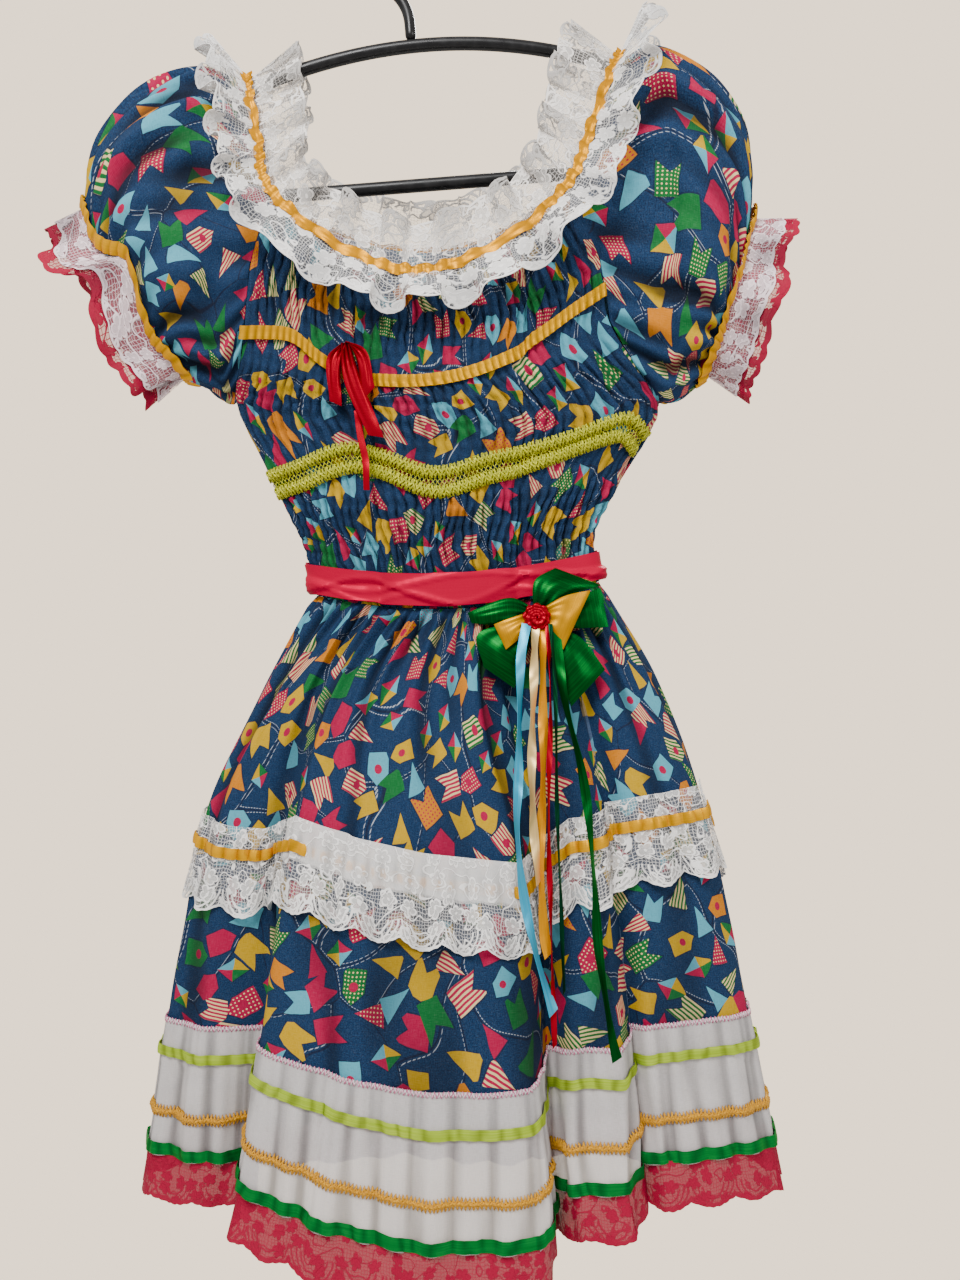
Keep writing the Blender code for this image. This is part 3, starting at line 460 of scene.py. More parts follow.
def join_meshes(name: str, parts: list[tuple[Array, Array]], finish: "Finish") -> bpy.types.Object:
    """One object from several sets of points in metres and faces of four corners."""
    points, faces, base = [], [], 0
    for some_points, some_faces in parts:
        points.append(some_points)
        faces.append(some_faces + base)
        base += len(some_points)
    mesh = bpy.data.meshes.new(name)
    mesh.from_pydata(np.concatenate(points).tolist(), [], np.concatenate(faces).tolist())
    mesh.materials.append(finish.material())
    mesh.shade_smooth()
    item = bpy.data.objects.new(name, mesh)
    bpy.context.collection.objects.link(item)
    return item


def publish(item: bpy.types.Object, slot: Slot, nodes: tuple[str, ...] = ()) -> None:
    """Give a piece its body, hide the CAD nodes it stands for, and log its slot.

    Args:
        item: The piece.
        slot: Material slot of the record.
        nodes: CAD nodes that it replaces.
    """
    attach(item, "root")
    if nodes:
        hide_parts(*nodes)
    LOG.info("%s: %d faces, %s", item.name, len(item.data.polygons), slot.value)


# ---------- shader building ----------

@dataclass
class Graph:
    """Short ways to add and join the nodes of one shader tree."""

    tree: bpy.types.NodeTree

    def add(self, kind: str, **settings: object) -> bpy.types.Node:
        """A new node with its settings."""
        node = self.tree.nodes.new(kind)
        for key, value in settings.items():
            setattr(node, key, value)
        return node

    def feed(self, value: object, socket: Socket) -> None:
        """Give an input a constant, or another node's output."""
        if isinstance(value, bpy.types.NodeSocket):
            self.tree.links.new(value, socket)
        else:
            socket.default_value = value

    def math(self, operation: str, *values: object, clamp: bool = False) -> Socket:
        """Output of a Math node."""
        node = self.add("ShaderNodeMath", operation=operation, use_clamp=clamp)
        for value, socket in zip(values, node.inputs):
            self.feed(value, socket)
        return node.outputs[0]

    def vector(self, operation: str, *values: object) -> Socket:
        """Vector output of a Vector Math node."""
        node = self.add("ShaderNodeVectorMath", operation=operation)
        for value, socket in zip(values, node.inputs):
            self.feed(value, socket)
        return node.outputs[0]

    def scaled(self, vector: Socket, scale: object) -> Socket:
        """A vector times a number."""
        node = self.add("ShaderNodeVectorMath", operation="SCALE")
        self.feed(vector, node.inputs[0])
        self.feed(scale, node.inputs["Scale"])
        return node.outputs[0]

    def turned(self, vector: Socket, angle: object) -> Socket:
        """A vector turned about Z."""
        node = self.add("ShaderNodeVectorRotate", rotation_type="Z_AXIS")
        self.feed(vector, node.inputs["Vector"])
        self.feed(angle, node.inputs["Angle"])
        return node.outputs[0]

    def parts(self, vector: Socket) -> tuple[Socket, Socket, Socket]:
        """The three parts of a vector."""
        node = self.add("ShaderNodeSeparateXYZ")
        self.feed(vector, node.inputs[0])
        return node.outputs[0], node.outputs[1], node.outputs[2]

    def joined(self, x: object, y: object, z: object = 0.0) -> Socket:
        """A vector from three numbers."""
        node = self.add("ShaderNodeCombineXYZ")
        for value, socket in zip((x, y, z), node.inputs):
            self.feed(value, socket)
        return node.outputs[0]

    def mix(self, factor: object, first: object, second: object) -> Socket:
        """Mixed colour."""
        node = self.add("ShaderNodeMix", data_type="RGBA")
        for value, index in ((factor, 0), (first, 6), (second, 7)):
            self.feed(value, node.inputs[index])
        return node.outputs[2]

    def blend(self, factor: object, first: object, second: object) -> Socket:
        """Mixed number."""
        node = self.add("ShaderNodeMix", data_type="FLOAT")
        for value, index in ((factor, 0), (first, 2), (second, 3)):
            self.feed(value, node.inputs[index])
        return node.outputs[0]

    def above(self, value: object, edge: object, soft: float = 0.001) -> Socket:
        """One where a value is above an edge, with a soft change across it."""
        gap = self.math("SUBTRACT", value, edge)
        return self.math("MULTIPLY_ADD", gap, 1.0 / soft, 0.5, clamp=True)

    def noise(self, vector: Socket, scale: float, detail: float = 2.0) -> tuple[Socket, Socket]:
        """Noise value and colour."""
        node = self.add("ShaderNodeTexNoise", noise_dimensions="3D")
        self.feed(vector, node.inputs["Vector"])
        node.inputs["Scale"].default_value = scale
        node.inputs["Detail"].default_value = detail
        return node.outputs[0], node.outputs[1]

    def cells(self, vector: Socket, scale: float, randomness: float,
              feature: str = "F1") -> bpy.types.Node:
        """Voronoi texture in the plane."""
        node = self.add("ShaderNodeTexVoronoi", voronoi_dimensions="2D", feature=feature)
        self.feed(vector, node.inputs["Vector"])
        node.inputs["Scale"].default_value = scale
        node.inputs["Randomness"].default_value = randomness
        return node


class ShaderGroup:
    """A node group that several finishes share, built the first time it is placed."""

    name: ClassVar[str] = ""
    inputs: ClassVar[tuple[tuple[str, str, object], ...]] = ()
    outputs: ClassVar[tuple[tuple[str, str], ...]] = ()

    def draw(self, g: Graph, given: dict[str, Socket]) -> dict[str, Socket]:
        """Nodes of the group.

        Args:
            g: Graph of the group's tree.
            given: The group's inputs by name.

        Returns:
            The sockets that feed the group's outputs, by name.
        """
        raise NotImplementedError

    def tree(self) -> bpy.types.NodeTree:
        """The group's tree."""
        if self.name in bpy.data.node_groups:
            return bpy.data.node_groups[self.name]
        tree = bpy.data.node_groups.new(self.name, "ShaderNodeTree")
        for label, kind, value in self.inputs:
            socket = tree.interface.new_socket(name=label, in_out="INPUT", socket_type=kind)
            if value is not None:
                socket.default_value = value
        for label, kind in self.outputs:
            tree.interface.new_socket(name=label, in_out="OUTPUT", socket_type=kind)
        g = Graph(tree)
        start, end = g.add("NodeGroupInput"), g.add("NodeGroupOutput")
        made = self.draw(g, {label: start.outputs[label] for label, _, _ in self.inputs})
        for label, socket in made.items():
            g.feed(socket, end.inputs[label])
        return tree

    def place(self, g: Graph, **given: object) -> dict[str, Socket]:
        """Put the group into a material.

        Args:
            g: Graph of the material.
            given: Values or sockets for the group's inputs.

        Returns:
            The group's outputs by name.
        """
        node = g.add("ShaderNodeGroup")
        node.node_tree = self.tree()
        for label, value in given.items():
            g.feed(value, node.inputs[label.replace("_", " ")])
        return {label: node.outputs[label] for label, _ in self.outputs}


class Weave(ShaderGroup):
    """Threads of a plain weave, as shade and height."""

    name = "weave"
    inputs = (("Vector", "NodeSocketVector", None), ("Thread", "NodeSocketFloat", 0.7))
    outputs = (("Shade", "NodeSocketFloat"), ("Height", "NodeSocketFloat"))

    def draw(self, g: Graph, given: dict[str, Socket]) -> dict[str, Socket]:
        """Two crossed sets of threads with slubs."""
        place = g.scaled(given["Vector"], 1000.0)
        x, y, _ = g.parts(place)
        pace = g.math("DIVIDE", 2.0 * math.pi, given["Thread"])
        warp = g.math("SINE", g.math("MULTIPLY", x, pace))
        weft = g.math("SINE", g.math("MULTIPLY", y, pace))
        crossed = g.math("MULTIPLY", warp, weft)
        slub_x, _ = g.noise(g.joined(g.math("MULTIPLY", x, 2.4), g.math("MULTIPLY", y, 0.18)), 1.0, 1.0)
        slub_y, _ = g.noise(g.joined(g.math("MULTIPLY", x, 0.18), g.math("MULTIPLY", y, 2.4)), 1.0, 1.0)
        slubs = g.math("ADD", slub_x, slub_y)
        height = g.math("MULTIPLY_ADD", crossed, 0.25, slubs)
        return {"Shade": g.math("SUBTRACT", slubs, 1.0), "Height": height}


class FestaPrint(ShaderGroup):
    """Denim-blue ground with pennants, swallow-tail flags, kites and dashed seams."""

    name = "festa_print"
    inputs = (("Vector", "NodeSocketVector", None),)
    outputs = (("Color", "NodeSocketColor"), ("Mask", "NodeSocketFloat"))
    HALF_WIDTH: ClassVar[float] = 9.0
    HALF_HEIGHT: ClassVar[float] = 12.5
    CRIMSON: ClassVar[tuple[float, ...]] = (0.34, 0.0004, 0.044, 1.0)
    MUSTARD: ClassVar[tuple[float, ...]] = (0.46, 0.275, 0.001, 1.0)
    GREEN: ClassVar[tuple[float, ...]] = (0.003, 0.115, 0.022, 1.0)
    SKY: ClassVar[tuple[float, ...]] = (0.080, 0.31, 0.40, 1.0)
    ORANGE: ClassVar[tuple[float, ...]] = (0.50, 0.165, 0.002, 1.0)
    PALE: ClassVar[tuple[float, ...]] = (0.66, 0.50, 0.24, 1.0)
    NAVY: ClassVar[tuple[float, ...]] = (0.003, 0.006, 0.024, 1.0)
    DENIM: ClassVar[tuple[float, ...]] = (0.0012, 0.008, 0.034, 1.0)
    DENIM_LIGHT: ClassVar[tuple[float, ...]] = (0.005, 0.036, 0.100, 1.0)

    def shapes(self, g: Graph, x: Socket, y: Socket, kind: Socket) -> tuple[Socket, Socket, Socket]:
        """Outline value of the motif of a cell, and the masks of the kites and the houses."""
        wide, tall = self.HALF_WIDTH, self.HALF_HEIGHT
        ax, ay = g.math("ABSOLUTE", x), g.math("ABSOLUTE", y)
        side = g.math("SUBTRACT", wide, ax)
        top = g.math("SUBTRACT", tall, y)
        foot = g.math("ADD", y, tall)
        across = g.math("DIVIDE", ax, wide)
        notch = g.math("MULTIPLY_ADD", across, 9.0, -9.0)
        flag = g.math("MINIMUM", g.math("MINIMUM", side, top), g.math("ADD", foot, notch))
        pennant = g.math("MULTIPLY", 0.6, g.math("MINIMUM", top, g.math("MULTIPLY_ADD", across, -2.0 * tall, foot)))
        kite = g.math("MULTIPLY", wide, g.math("SUBTRACT", 1.0, g.math("ADD", across, g.math("DIVIDE", ay, tall))))
        roof = g.math("MULTIPLY_ADD", across, -8.0, top)
        house = g.math("MINIMUM", g.math("MINIMUM", side, foot), roof)
        is_kite = g.math("MULTIPLY", g.above(kind, 0.64), g.math("SUBTRACT", 1.0, g.above(kind, 0.78)))
        is_house = g.above(kind, 0.78)
        shape = g.blend(g.above(kind, 0.32), flag, pennant)
        shape = g.blend(is_kite, shape, kite)
        shape = g.blend(is_house, shape, house)
        return shape, is_kite, is_house

    def fills(self, g: Graph, x: Socket, y: Socket, hue: Socket, pick: Socket, is_kite: Socket,
              is_house: Socket) -> Socket:
        """Colour inside a motif: plain, striped, dotted, quartered or with a small red patch."""
        ramp = g.add("ShaderNodeValToRGB")
        ramp.color_ramp.interpolation = "CONSTANT"
        stops = ((0.0, self.CRIMSON), (0.37, self.MUSTARD), (0.57, self.GREEN), (0.78, self.SKY), (0.91, self.ORANGE))
        for index, (place, colour) in enumerate(stops):
            stop = ramp.color_ramp.elements[index] if index < 2 else ramp.color_ramp.elements.new(place)
            stop.position, stop.color = place, colour
        g.feed(hue, ramp.inputs[0])
        colour = ramp.outputs[0]
        red_or_green = g.math("MAXIMUM", g.math("LESS_THAN", hue, 0.34),
                              g.math("LESS_THAN", g.math("ABSOLUTE", g.math("SUBTRACT", hue, 0.66)), 0.09))
        stripe = g.above(g.math("FRACT", g.math("DIVIDE", x, 3.0)), 0.52, 0.1)
        striped = g.math("MULTIPLY", g.math("MULTIPLY", stripe, g.math("LESS_THAN", pick, 0.34)), red_or_green)
        colour = g.mix(striped, colour, self.PALE)
        dot_x = g.math("SUBTRACT", g.math("FRACT", g.math("DIVIDE", x, 2.9)), 0.5)
        dot_y = g.math("SUBTRACT", g.math("FRACT", g.math("DIVIDE", y, 2.9)), 0.5)
        reach = g.math("SQRT", g.math("ADD", g.math("MULTIPLY", dot_x, dot_x), g.math("MULTIPLY", dot_y, dot_y)))
        dotted = g.math("MULTIPLY", g.math("LESS_THAN", reach, 0.22), g.math("GREATER_THAN", pick, 0.66))
        colour = g.mix(g.math("MULTIPLY", dotted, red_or_green), colour, self.PALE)
        colour = g.mix(g.math("MULTIPLY", dotted, g.math("GREATER_THAN", hue, 0.90)), colour, self.CRIMSON)
        right, high = g.math("GREATER_THAN", x, 0.0), g.math("GREATER_THAN", y, 0.0)
        quarters = g.mix(high, g.mix(right, self.CRIMSON, self.SKY), g.mix(right, self.GREEN, self.MUSTARD))
        colour = g.mix(is_kite, colour, quarters)
        blob = g.math("SQRT", g.math("ADD", g.math("MULTIPLY", x, x), g.math("MULTIPLY", y, y)))
        patch = g.math("MULTIPLY", g.math("LESS_THAN", blob, 3.4), is_house)
        return g.mix(patch, colour, self.CRIMSON)

    def seams(self, g: Graph, place: Socket) -> tuple[Socket, Socket]:
        """Masks of the dark curved seam lines and of the dashed white stitches beside them."""
        _, swirl = g.noise(place, 0.011, 1.0)
        bent = g.vector("ADD", place, g.scaled(g.vector("SUBTRACT", swirl, (0.5, 0.5, 0.5)), 75.0))
        cells = g.cells(bent, 1.0 / 66.0, 1.0, "DISTANCE_TO_EDGE")
        gap = g.math("MULTIPLY", cells.outputs["Distance"], 66.0)
        dark = g.math("SUBTRACT", 1.0, g.above(gap, 0.55, 0.5))
        near = g.math("LESS_THAN", g.math("ABSOLUTE", g.math("SUBTRACT", gap, 1.6)), 0.26)
        split = g.add("ShaderNodeSeparateColor")
        g.feed(g.cells(bent, 1.0 / 66.0, 1.0).outputs["Color"], split.inputs[0])
        near = g.math("MULTIPLY", near, g.math("GREATER_THAN", split.outputs[0], 0.42))
        x, y, _ = g.parts(place)
        run = g.math("FRACT", g.math("DIVIDE", g.math("MULTIPLY_ADD", x, 0.85, g.math("MULTIPLY", y, 0.6)), 2.4))
        return dark, g.math("MULTIPLY", near, g.math("LESS_THAN", run, 0.62))

    def draw(self, g: Graph, given: dict[str, Socket]) -> dict[str, Socket]:
        """Ground, seams and motifs."""
        place = g.scaled(given["Vector"], 1000.0)
        _, shake = g.noise(place, 0.06, 1.0)
        bent = g.vector("ADD", place, g.scaled(g.vector("SUBTRACT", shake, (0.5, 0.5, 0.5)), 3.0))
        leaning = g.turned(bent, 0.5)
        cells = g.cells(leaning, 1.0 / 27.0, 0.45)
        local = g.vector("SUBTRACT", leaning, cells.outputs["Position"])
        split = g.add("ShaderNodeSeparateColor")
        g.feed(cells.outputs["Color"], split.inputs[0])
        turn, kind, hue = split.outputs[0], split.outputs[1], split.outputs[2]
        local = g.turned(local, g.math("MULTIPLY_ADD", turn, 5.4, -3.2))
        local = g.scaled(local, g.math("MULTIPLY_ADD", g.math("FRACT", g.math("MULTIPLY", hue, 17.0)), 0.35, 0.86))
        x, y, _ = g.parts(local)
        shape, is_kite, is_house = self.shapes(g, x, y, kind)
        pick = g.math("FRACT", g.math("MULTIPLY", turn, 9.7))
        motif = self.fills(g, x, y, hue, pick, is_kite, is_house)
        dark, stitch = self.seams(g, place)
        speck, _ = g.noise(place, 1.1, 2.0)
        ground = g.mix(g.above(speck, 0.5, 0.35), self.DENIM, self.DENIM_LIGHT)
        ground = g.mix(g.math("MULTIPLY", dark, 0.85), ground, self.NAVY)
        ground = g.mix(g.math("MULTIPLY", stitch, 0.42), ground, (0.75, 0.78, 0.82, 1.0))
        rim = g.math("MULTIPLY", g.above(shape, -0.9, 0.5), 0.6)
        ground = g.mix(rim, ground, self.NAVY)
        inside = g.above(shape, 0.0, 0.4)
        return {"Color": g.mix(inside, ground, motif), "Mask": inside}


class LacePattern(ShaderGroup):
    """Net, leafy flowers, and cords along each scallop; X runs along the lace and Y up from its edge."""

    name = "lace_pattern"
    inputs = (("Vector", "NodeSocketVector", None), ("Net", "NodeSocketFloat", 2.6),
              ("Lobe", "NodeSocketFloat", 20.0), ("Motif", "NodeSocketFloat", 15.0),
              ("Cover", "NodeSocketFloat", 0.05), ("Fill", "NodeSocketFloat", 0.38),
              ("Thread", "NodeSocketFloat", 0.40), ("Border", "NodeSocketFloat", 1.7),
              ("Band", "NodeSocketFloat", 500.0), ("Band From", "NodeSocketFloat", 0.0), ("Band To", "NodeSocketFloat", 1000.0))
    outputs = (("Alpha", "NodeSocketFloat"), ("Height", "NodeSocketFloat"))

    def length(self, g: Graph, x: Socket, y: Socket) -> Socket:
        """Distance from the middle."""
        return g.math("SQRT", g.math("ADD", g.math("MULTIPLY", x, x), g.math("MULTIPLY", y, y)))

    def arches(self, g: Graph, x: Socket, y: Socket, lobe: Socket) -> Socket:
        """Cords that follow each scallop of the edge."""
        along = g.math("MULTIPLY", g.math("SUBTRACT", g.math("FRACT", g.math("DIVIDE", x, lobe)), 0.5), lobe)
        up = g.math("SUBTRACT", y, g.math("MULTIPLY", lobe, 0.42))
        reach = self.length(g, along, up)
        wave = g.math("SINE", g.math("MULTIPLY", reach, 2.0 * math.pi / 4.2))
        inside = g.math("LESS_THAN", y, g.math("MULTIPLY", lobe, 0.40))
        outer = g.math("GREATER_THAN", reach, g.math("MULTIPLY", lobe, 0.16))
        return g.math("MULTIPLY", g.above(wave, 0.45, 0.4), g.math("MULTIPLY", inside, outer))

    def flowers(self, g: Graph, place: Socket, motif: Socket) -> tuple[Socket, Socket]:
        """Petals with heavier outlines, each flower turned its own way."""
        scaled = g.scaled(place, g.math("DIVIDE", 1.0, motif))
        cells = g.cells(scaled, 1.0, 0.7)
        local = g.vector("SUBTRACT", scaled, cells.outputs["Position"])
        split = g.add("ShaderNodeSeparateColor")
        g.feed(cells.outputs["Color"], split.inputs[0])
        local = g.turned(local, g.math("MULTIPLY", split.outputs[0], 2.0 * math.pi))
        across, up, _ = g.parts(local)
        reach = self.length(g, across, g.math("MULTIPLY", up, 1.25))
        angle = g.math("ARCTAN2", up, across)
        round_petals = g.math("SQRT", g.math("ABSOLUTE", g.math("COSINE", g.math("MULTIPLY", angle, 2.5))))
        petals = g.math("MULTIPLY_ADD", round_petals, 0.22, 0.20)
        gap = g.math("SUBTRACT", petals, reach)
        fill = g.above(gap, 0.0, 0.06)
        outline = g.math("LESS_THAN", g.math("ABSOLUTE", g.math("SUBTRACT", gap, 0.04)), 0.045)
        eye = g.math("LESS_THAN", reach, 0.07)
        return fill, g.math("MAXIMUM", outline, eye)

    def draw(self, g: Graph, given: dict[str, Socket]) -> dict[str, Socket]:
        """Masks of the parts, the densest of which counts."""
        place = g.scaled(given["Vector"], 1000.0)
        _, swirl = g.noise(place, 0.09, 1.0)
        place = g.vector("ADD", place, g.scaled(g.vector("SUBTRACT", swirl, (0.5, 0.5, 0.5)), 5.0))
        x, y, _ = g.parts(place)
        mesh = g.cells(g.scaled(place, g.math("DIVIDE", 1.0, given["Net"])), 1.0, 0.3, "DISTANCE_TO_EDGE")
        thread = g.math("SUBTRACT", 1.0, g.above(mesh.outputs["Distance"], 0.075, 0.06))
        arch = self.arches(g, x, y, given["Lobe"])
        fill, outline = self.flowers(g, place, given["Motif"])
        bend, _ = g.noise(place, 0.05, 1.0)
        waves = g.math("SINE", g.math("MULTIPLY_ADD", bend, 26.0, g.math("MULTIPLY", y, 0.30)))
        stem = g.above(waves, 0.93, 0.06)
        strip = g.math("SUBTRACT", 1.0, g.above(y, given["Border"], 0.5))
        thick = g.math("MAXIMUM", g.math("MAXIMUM", strip, outline), g.math("MAXIMUM", stem, arch))
        alpha = g.math("MAXIMUM", g.math("MULTIPLY", thread, given["Thread"]), g.math("MULTIPLY", fill, given["Fill"]))
        alpha = g.math("MAXIMUM", alpha, g.math("MULTIPLY", thick, 0.93))
        along = g.math("MULTIPLY", g.above(x, given["Band From"], 2.0), g.above(g.math("MULTIPLY", x, -1.0),
                                                                               g.math("MULTIPLY", given["Band To"], -1.0), 2.0))
        dense = g.math("MULTIPLY", along, g.above(y, given["Band"], 3.0))
        alpha = g.math("MAXIMUM", alpha, g.math("MULTIPLY", dense, 0.50))
        return {"Alpha": g.math("MAXIMUM", alpha, given["Cover"]), "Height": g.math("ADD", thick, fill)}


class RibbonSheen(ShaderGroup):
    """Fine ribs of satin along its length, which is X, and soft streaks of painted sheen."""

    name = "ribbon_sheen"
    inputs = (("Vector", "NodeSocketVector", None), ("Color", "NodeSocketColor", (1.0, 1.0, 1.0, 1.0)),
              ("Light", "NodeSocketColor", (1.0, 1.0, 1.0, 1.0)))
    outputs = (("Color", "NodeSocketColor"), ("Roughness", "NodeSocketFloat"), ("Height", "NodeSocketFloat"))

    def draw(self, g: Graph, given: dict[str, Socket]) -> dict[str, Socket]:
        """Colour streaked with painted sheen, uneven gloss and fine threads."""
        place = g.scaled(given["Vector"], 1000.0)
        x, y, _ = g.parts(place)
        sheen_streak, _ = g.noise(g.joined(g.math("MULTIPLY", x, 0.02), g.math("MULTIPLY", y, 1.1)), 1.0, 2.0)
        cloud, _ = g.noise(place, 0.05, 2.0)
        # Painted sheen: streaks of the lighter colour along the ribbon.
        colour = g.mix(g.math("MULTIPLY_ADD", sheen_streak, 0.9, -0.25, clamp=True), given["Color"], given["Light"])
        rough = g.math("MULTIPLY_ADD", cloud, 0.26, 0.22)
        fine = g.math("SINE", g.math("MULTIPLY", x, 9.0))
        return {"Color": colour, "Roughness": rough, "Height": g.math("MULTIPLY_ADD", fine, 0.3, sheen_streak)}


class TwistedYarn(ShaderGroup):
    """Light and shade of a plied yarn with a glint here and there."""

    name = "twisted_yarn"
    inputs = (("Vector", "NodeSocketVector", None), ("Color", "NodeSocketColor", (1.0, 1.0, 1.0, 1.0)),
              ("Glint", "NodeSocketColor", (1.0, 1.0, 1.0, 1.0)))
    outputs = (("Color", "NodeSocketColor"), ("Height", "NodeSocketFloat"))

    def draw(self, g: Graph, given: dict[str, Socket]) -> dict[str, Socket]:
        """Colour speckled with painted glints, and twist."""
        place = g.scaled(given["Vector"], 1000.0)
        speck, _ = g.noise(place, 0.9, 2.0)
        bands = g.add("ShaderNodeTexWave", wave_type="BANDS", bands_direction="DIAGONAL")
        g.feed(place, bands.inputs["Vector"])
        bands.inputs["Scale"].default_value = 0.55
        bands.inputs["Distortion"].default_value = 1.5
        # Painted glints: specks of the lighter glint colour.
        colour = g.mix(g.above(speck, 0.58, 0.2), given["Color"], given["Glint"])
        return {"Color": colour, "Height": bands.outputs[1]}


# ---------- finishes ----------

@dataclass(frozen=True)
class Finish:
    """A finish of one kind of cloth or plastic."""

    name: str

    def draw(self, g: Graph, shader: bpy.types.Node) -> None:
        """Nodes of the finish.

        Args:
            g: Graph of the material.
            shader: The material's Principled shader.
        """
        raise NotImplementedError

    def material(self) -> bpy.types.Material:
        """The material, made the first time it is asked for."""
        if self.name in bpy.data.materials:
            return bpy.data.materials[self.name]
        material = bpy.data.materials.new(self.name)
        material.use_nodes = True
        tree = material.node_tree
        tree.nodes.clear()
        g = Graph(tree)
        shader, output = g.add("ShaderNodeBsdfPrincipled"), g.add("ShaderNodeOutputMaterial")
        tree.links.new(shader.outputs[0], output.inputs[0])
        self.draw(g, shader)
        return material

    @staticmethod
    def cloth_place(g: Graph) -> Socket:
        """Place on the flat cloth."""
        return g.add("ShaderNodeUVMap", uv_map=UV_NAME).outputs[0]

    @staticmethod
    def object_place(g: Graph) -> Socket:
        """Place in the object."""
        return g.add("ShaderNodeTexCoord").outputs["Object"]

    @staticmethod
    def folded(g: Graph, colour: Socket, strength: float) -> Socket:
        """The colour darkened by painted shade where the cloth lies in a fold."""
        fold_shade = g.add("ShaderNodeAttribute", attribute_name=FOLD_SHADE).outputs["Fac"]
        # Painted shade colour: the colour taken most of the way to black.
        deep = g.mix(0.82, colour, (0.0, 0.0, 0.002, 1.0))
        return g.mix(g.math("MULTIPLY", fold_shade, strength, clamp=True), colour, deep)

    @staticmethod
    def bump(g: Graph, shader: bpy.types.Node, height: Socket, strength: float, distance: float) -> None:
        """Feed a height to the shader's normal."""
        node = g.add("ShaderNodeBump")
        node.inputs["Strength"].default_value = strength
        node.inputs["Distance"].default_value = distance
        g.feed(height, node.inputs["Height"])
        g.feed(node.outputs[0], shader.inputs["Normal"])


@dataclass(frozen=True)
class PrintedCotton(Finish):
    """Plain woven cotton with the festa print; the reverse is paler."""

    reverse: bool = False

    def draw(self, g: Graph, shader: bpy.types.Node) -> None:
        """Print under the shade of the weave."""
        place = self.cloth_place(g)
        printed = FestaPrint().place(g, Vector=place)["Color"]
        if self.reverse:
            printed = g.mix(0.5, printed, (0.07, 0.11, 0.19, 1.0))
        weave = Weave().place(g, Vector=place, Thread=0.9)
        shade = g.math("MULTIPLY_ADD", weave["Shade"], 0.55, 0.0)
        lighter = g.mix(g.math("MULTIPLY", shade, 0.22, clamp=True), printed, (0.45, 0.52, 0.60, 1.0))
        darker = g.mix(g.math("MULTIPLY", shade, -1.2, clamp=True), lighter, (0.0, 0.0, 0.005, 1.0))
        # Painted shade in the folds, gathers and puckers.
        g.feed(self.folded(g, darker, 0.95), shader.inputs["Base Color"])
        shader.inputs["Roughness"].default_value = 0.82
        shader.inputs["Specular IOR Level"].default_value = 0.18
        self.bump(g, shader, weave["Height"], 0.35, 0.0004)


@dataclass(frozen=True)
class Lace(Finish):
    """Machine lace: net with flowers and a corded edge."""

    colour: tuple[float, float, float] = (0.86, 0.84, 0.82)
    net: float = 2.6
    lobe: float = 20.0
    motif: float = 15.0
    cover: float = 0.04
    fill: float = 0.38
    thread: float = 0.40
    border: float = 1.7
    # Strength of the painted shade in the folds.
    shade: float = 0.55
    band: tuple[float, float, float] = (500.0, 0.0, 1000.0)

    def draw(self, g: Graph, shader: bpy.types.Node) -> None:
        """Openwork from the lace pattern."""
        place = self.cloth_place(g)
        lace = LacePattern().place(g, Vector=place, Net=self.net, Lobe=self.lobe, Motif=self.motif,
                                   Cover=self.cover, Fill=self.fill, Thread=self.thread, Border=self.border, Band=self.band[0],
                                   Band_From=self.band[1], Band_To=self.band[2])
        # Threads with painted glints a little lighter than the lace.
        yarn = TwistedYarn().place(g, Vector=place, Color=(*self.colour, 1.0),
                                   Glint=(*(min(1.0, 1.12 * part) for part in self.colour), 1.0))
        # Painted shade in the folds of the frills.
        g.feed(self.folded(g, yarn["Color"], self.shade), shader.inputs["Base Color"])
        g.feed(lace["Alpha"], shader.inputs["Alpha"])
        shader.inputs["Roughness"].default_value = 0.75
        shader.inputs["Specular IOR Level"].default_value = 0.2
        self.bump(g, shader, lace["Height"], 0.6, 0.0005)


@dataclass(frozen=True)
class Satin(Finish):
    """Satin ribbon of one colour."""

    colour: tuple[float, float, float] = (1.0, 1.0, 1.0)
    # Lighter colour of the painted sheen streaks; it also tints the specular reflections.
    light: tuple[float, float, float] = (1.0, 1.0, 1.0)
    shine: float = 0.60
    gloss: float = 0.20

    def draw(self, g: Graph, shader: bpy.types.Node) -> None:
        """Painted sheen streaks and gloss along the ribbon."""
        sheen = RibbonSheen().place(g, Vector=self.cloth_place(g), Color=(*self.colour, 1.0), Light=(*self.light, 1.0))
        # Painted shade in the folds and puckers.
        g.feed(self.folded(g, sheen["Color"], 0.7), shader.inputs["Base Color"])
        g.feed(sheen["Roughness"], shader.inputs["Roughness"])
        shader.inputs["Specular IOR Level"].default_value = self.gloss
        shader.inputs["Metallic"].default_value = self.shine
        brightest = max(self.light)
        shader.inputs["Specular Tint"].default_value = (*(part / brightest for part in self.light), 1.0)
        self.bump(g, shader, sheen["Height"], 0.12, 0.0003)


@dataclass(frozen=True)
class Organza(Finish):
    """Sheer white organza."""

    def draw(self, g: Graph, shader: bpy.types.Node) -> None:
        """Milky cloth that lets a little through."""
        place = self.cloth_place(g)
        weave = Weave().place(g, Vector=place, Thread=0.8)
        cloud, _ = g.noise(g.scaled(place, 1000.0), 0.03, 3.0)
        # Greys painted darker than white organza for the shade of the layers inside, with a cloud of uneven tone, then
        # painted shade in the pleats.
        colour = g.mix(cloud, (0.56, 0.53, 0.53, 1.0), (0.70, 0.66, 0.65, 1.0))
        g.feed(self.folded(g, colour, 0.75), shader.inputs["Base Color"])
        g.feed(g.math("MULTIPLY_ADD", weave["Shade"], 0.25, 0.67, clamp=True), shader.inputs["Alpha"])
        shader.inputs["Roughness"].default_value = 0.5
        shader.inputs["Specular IOR Level"].default_value = 0.3
        self.bump(g, shader, weave["Height"], 0.15, 0.0003)


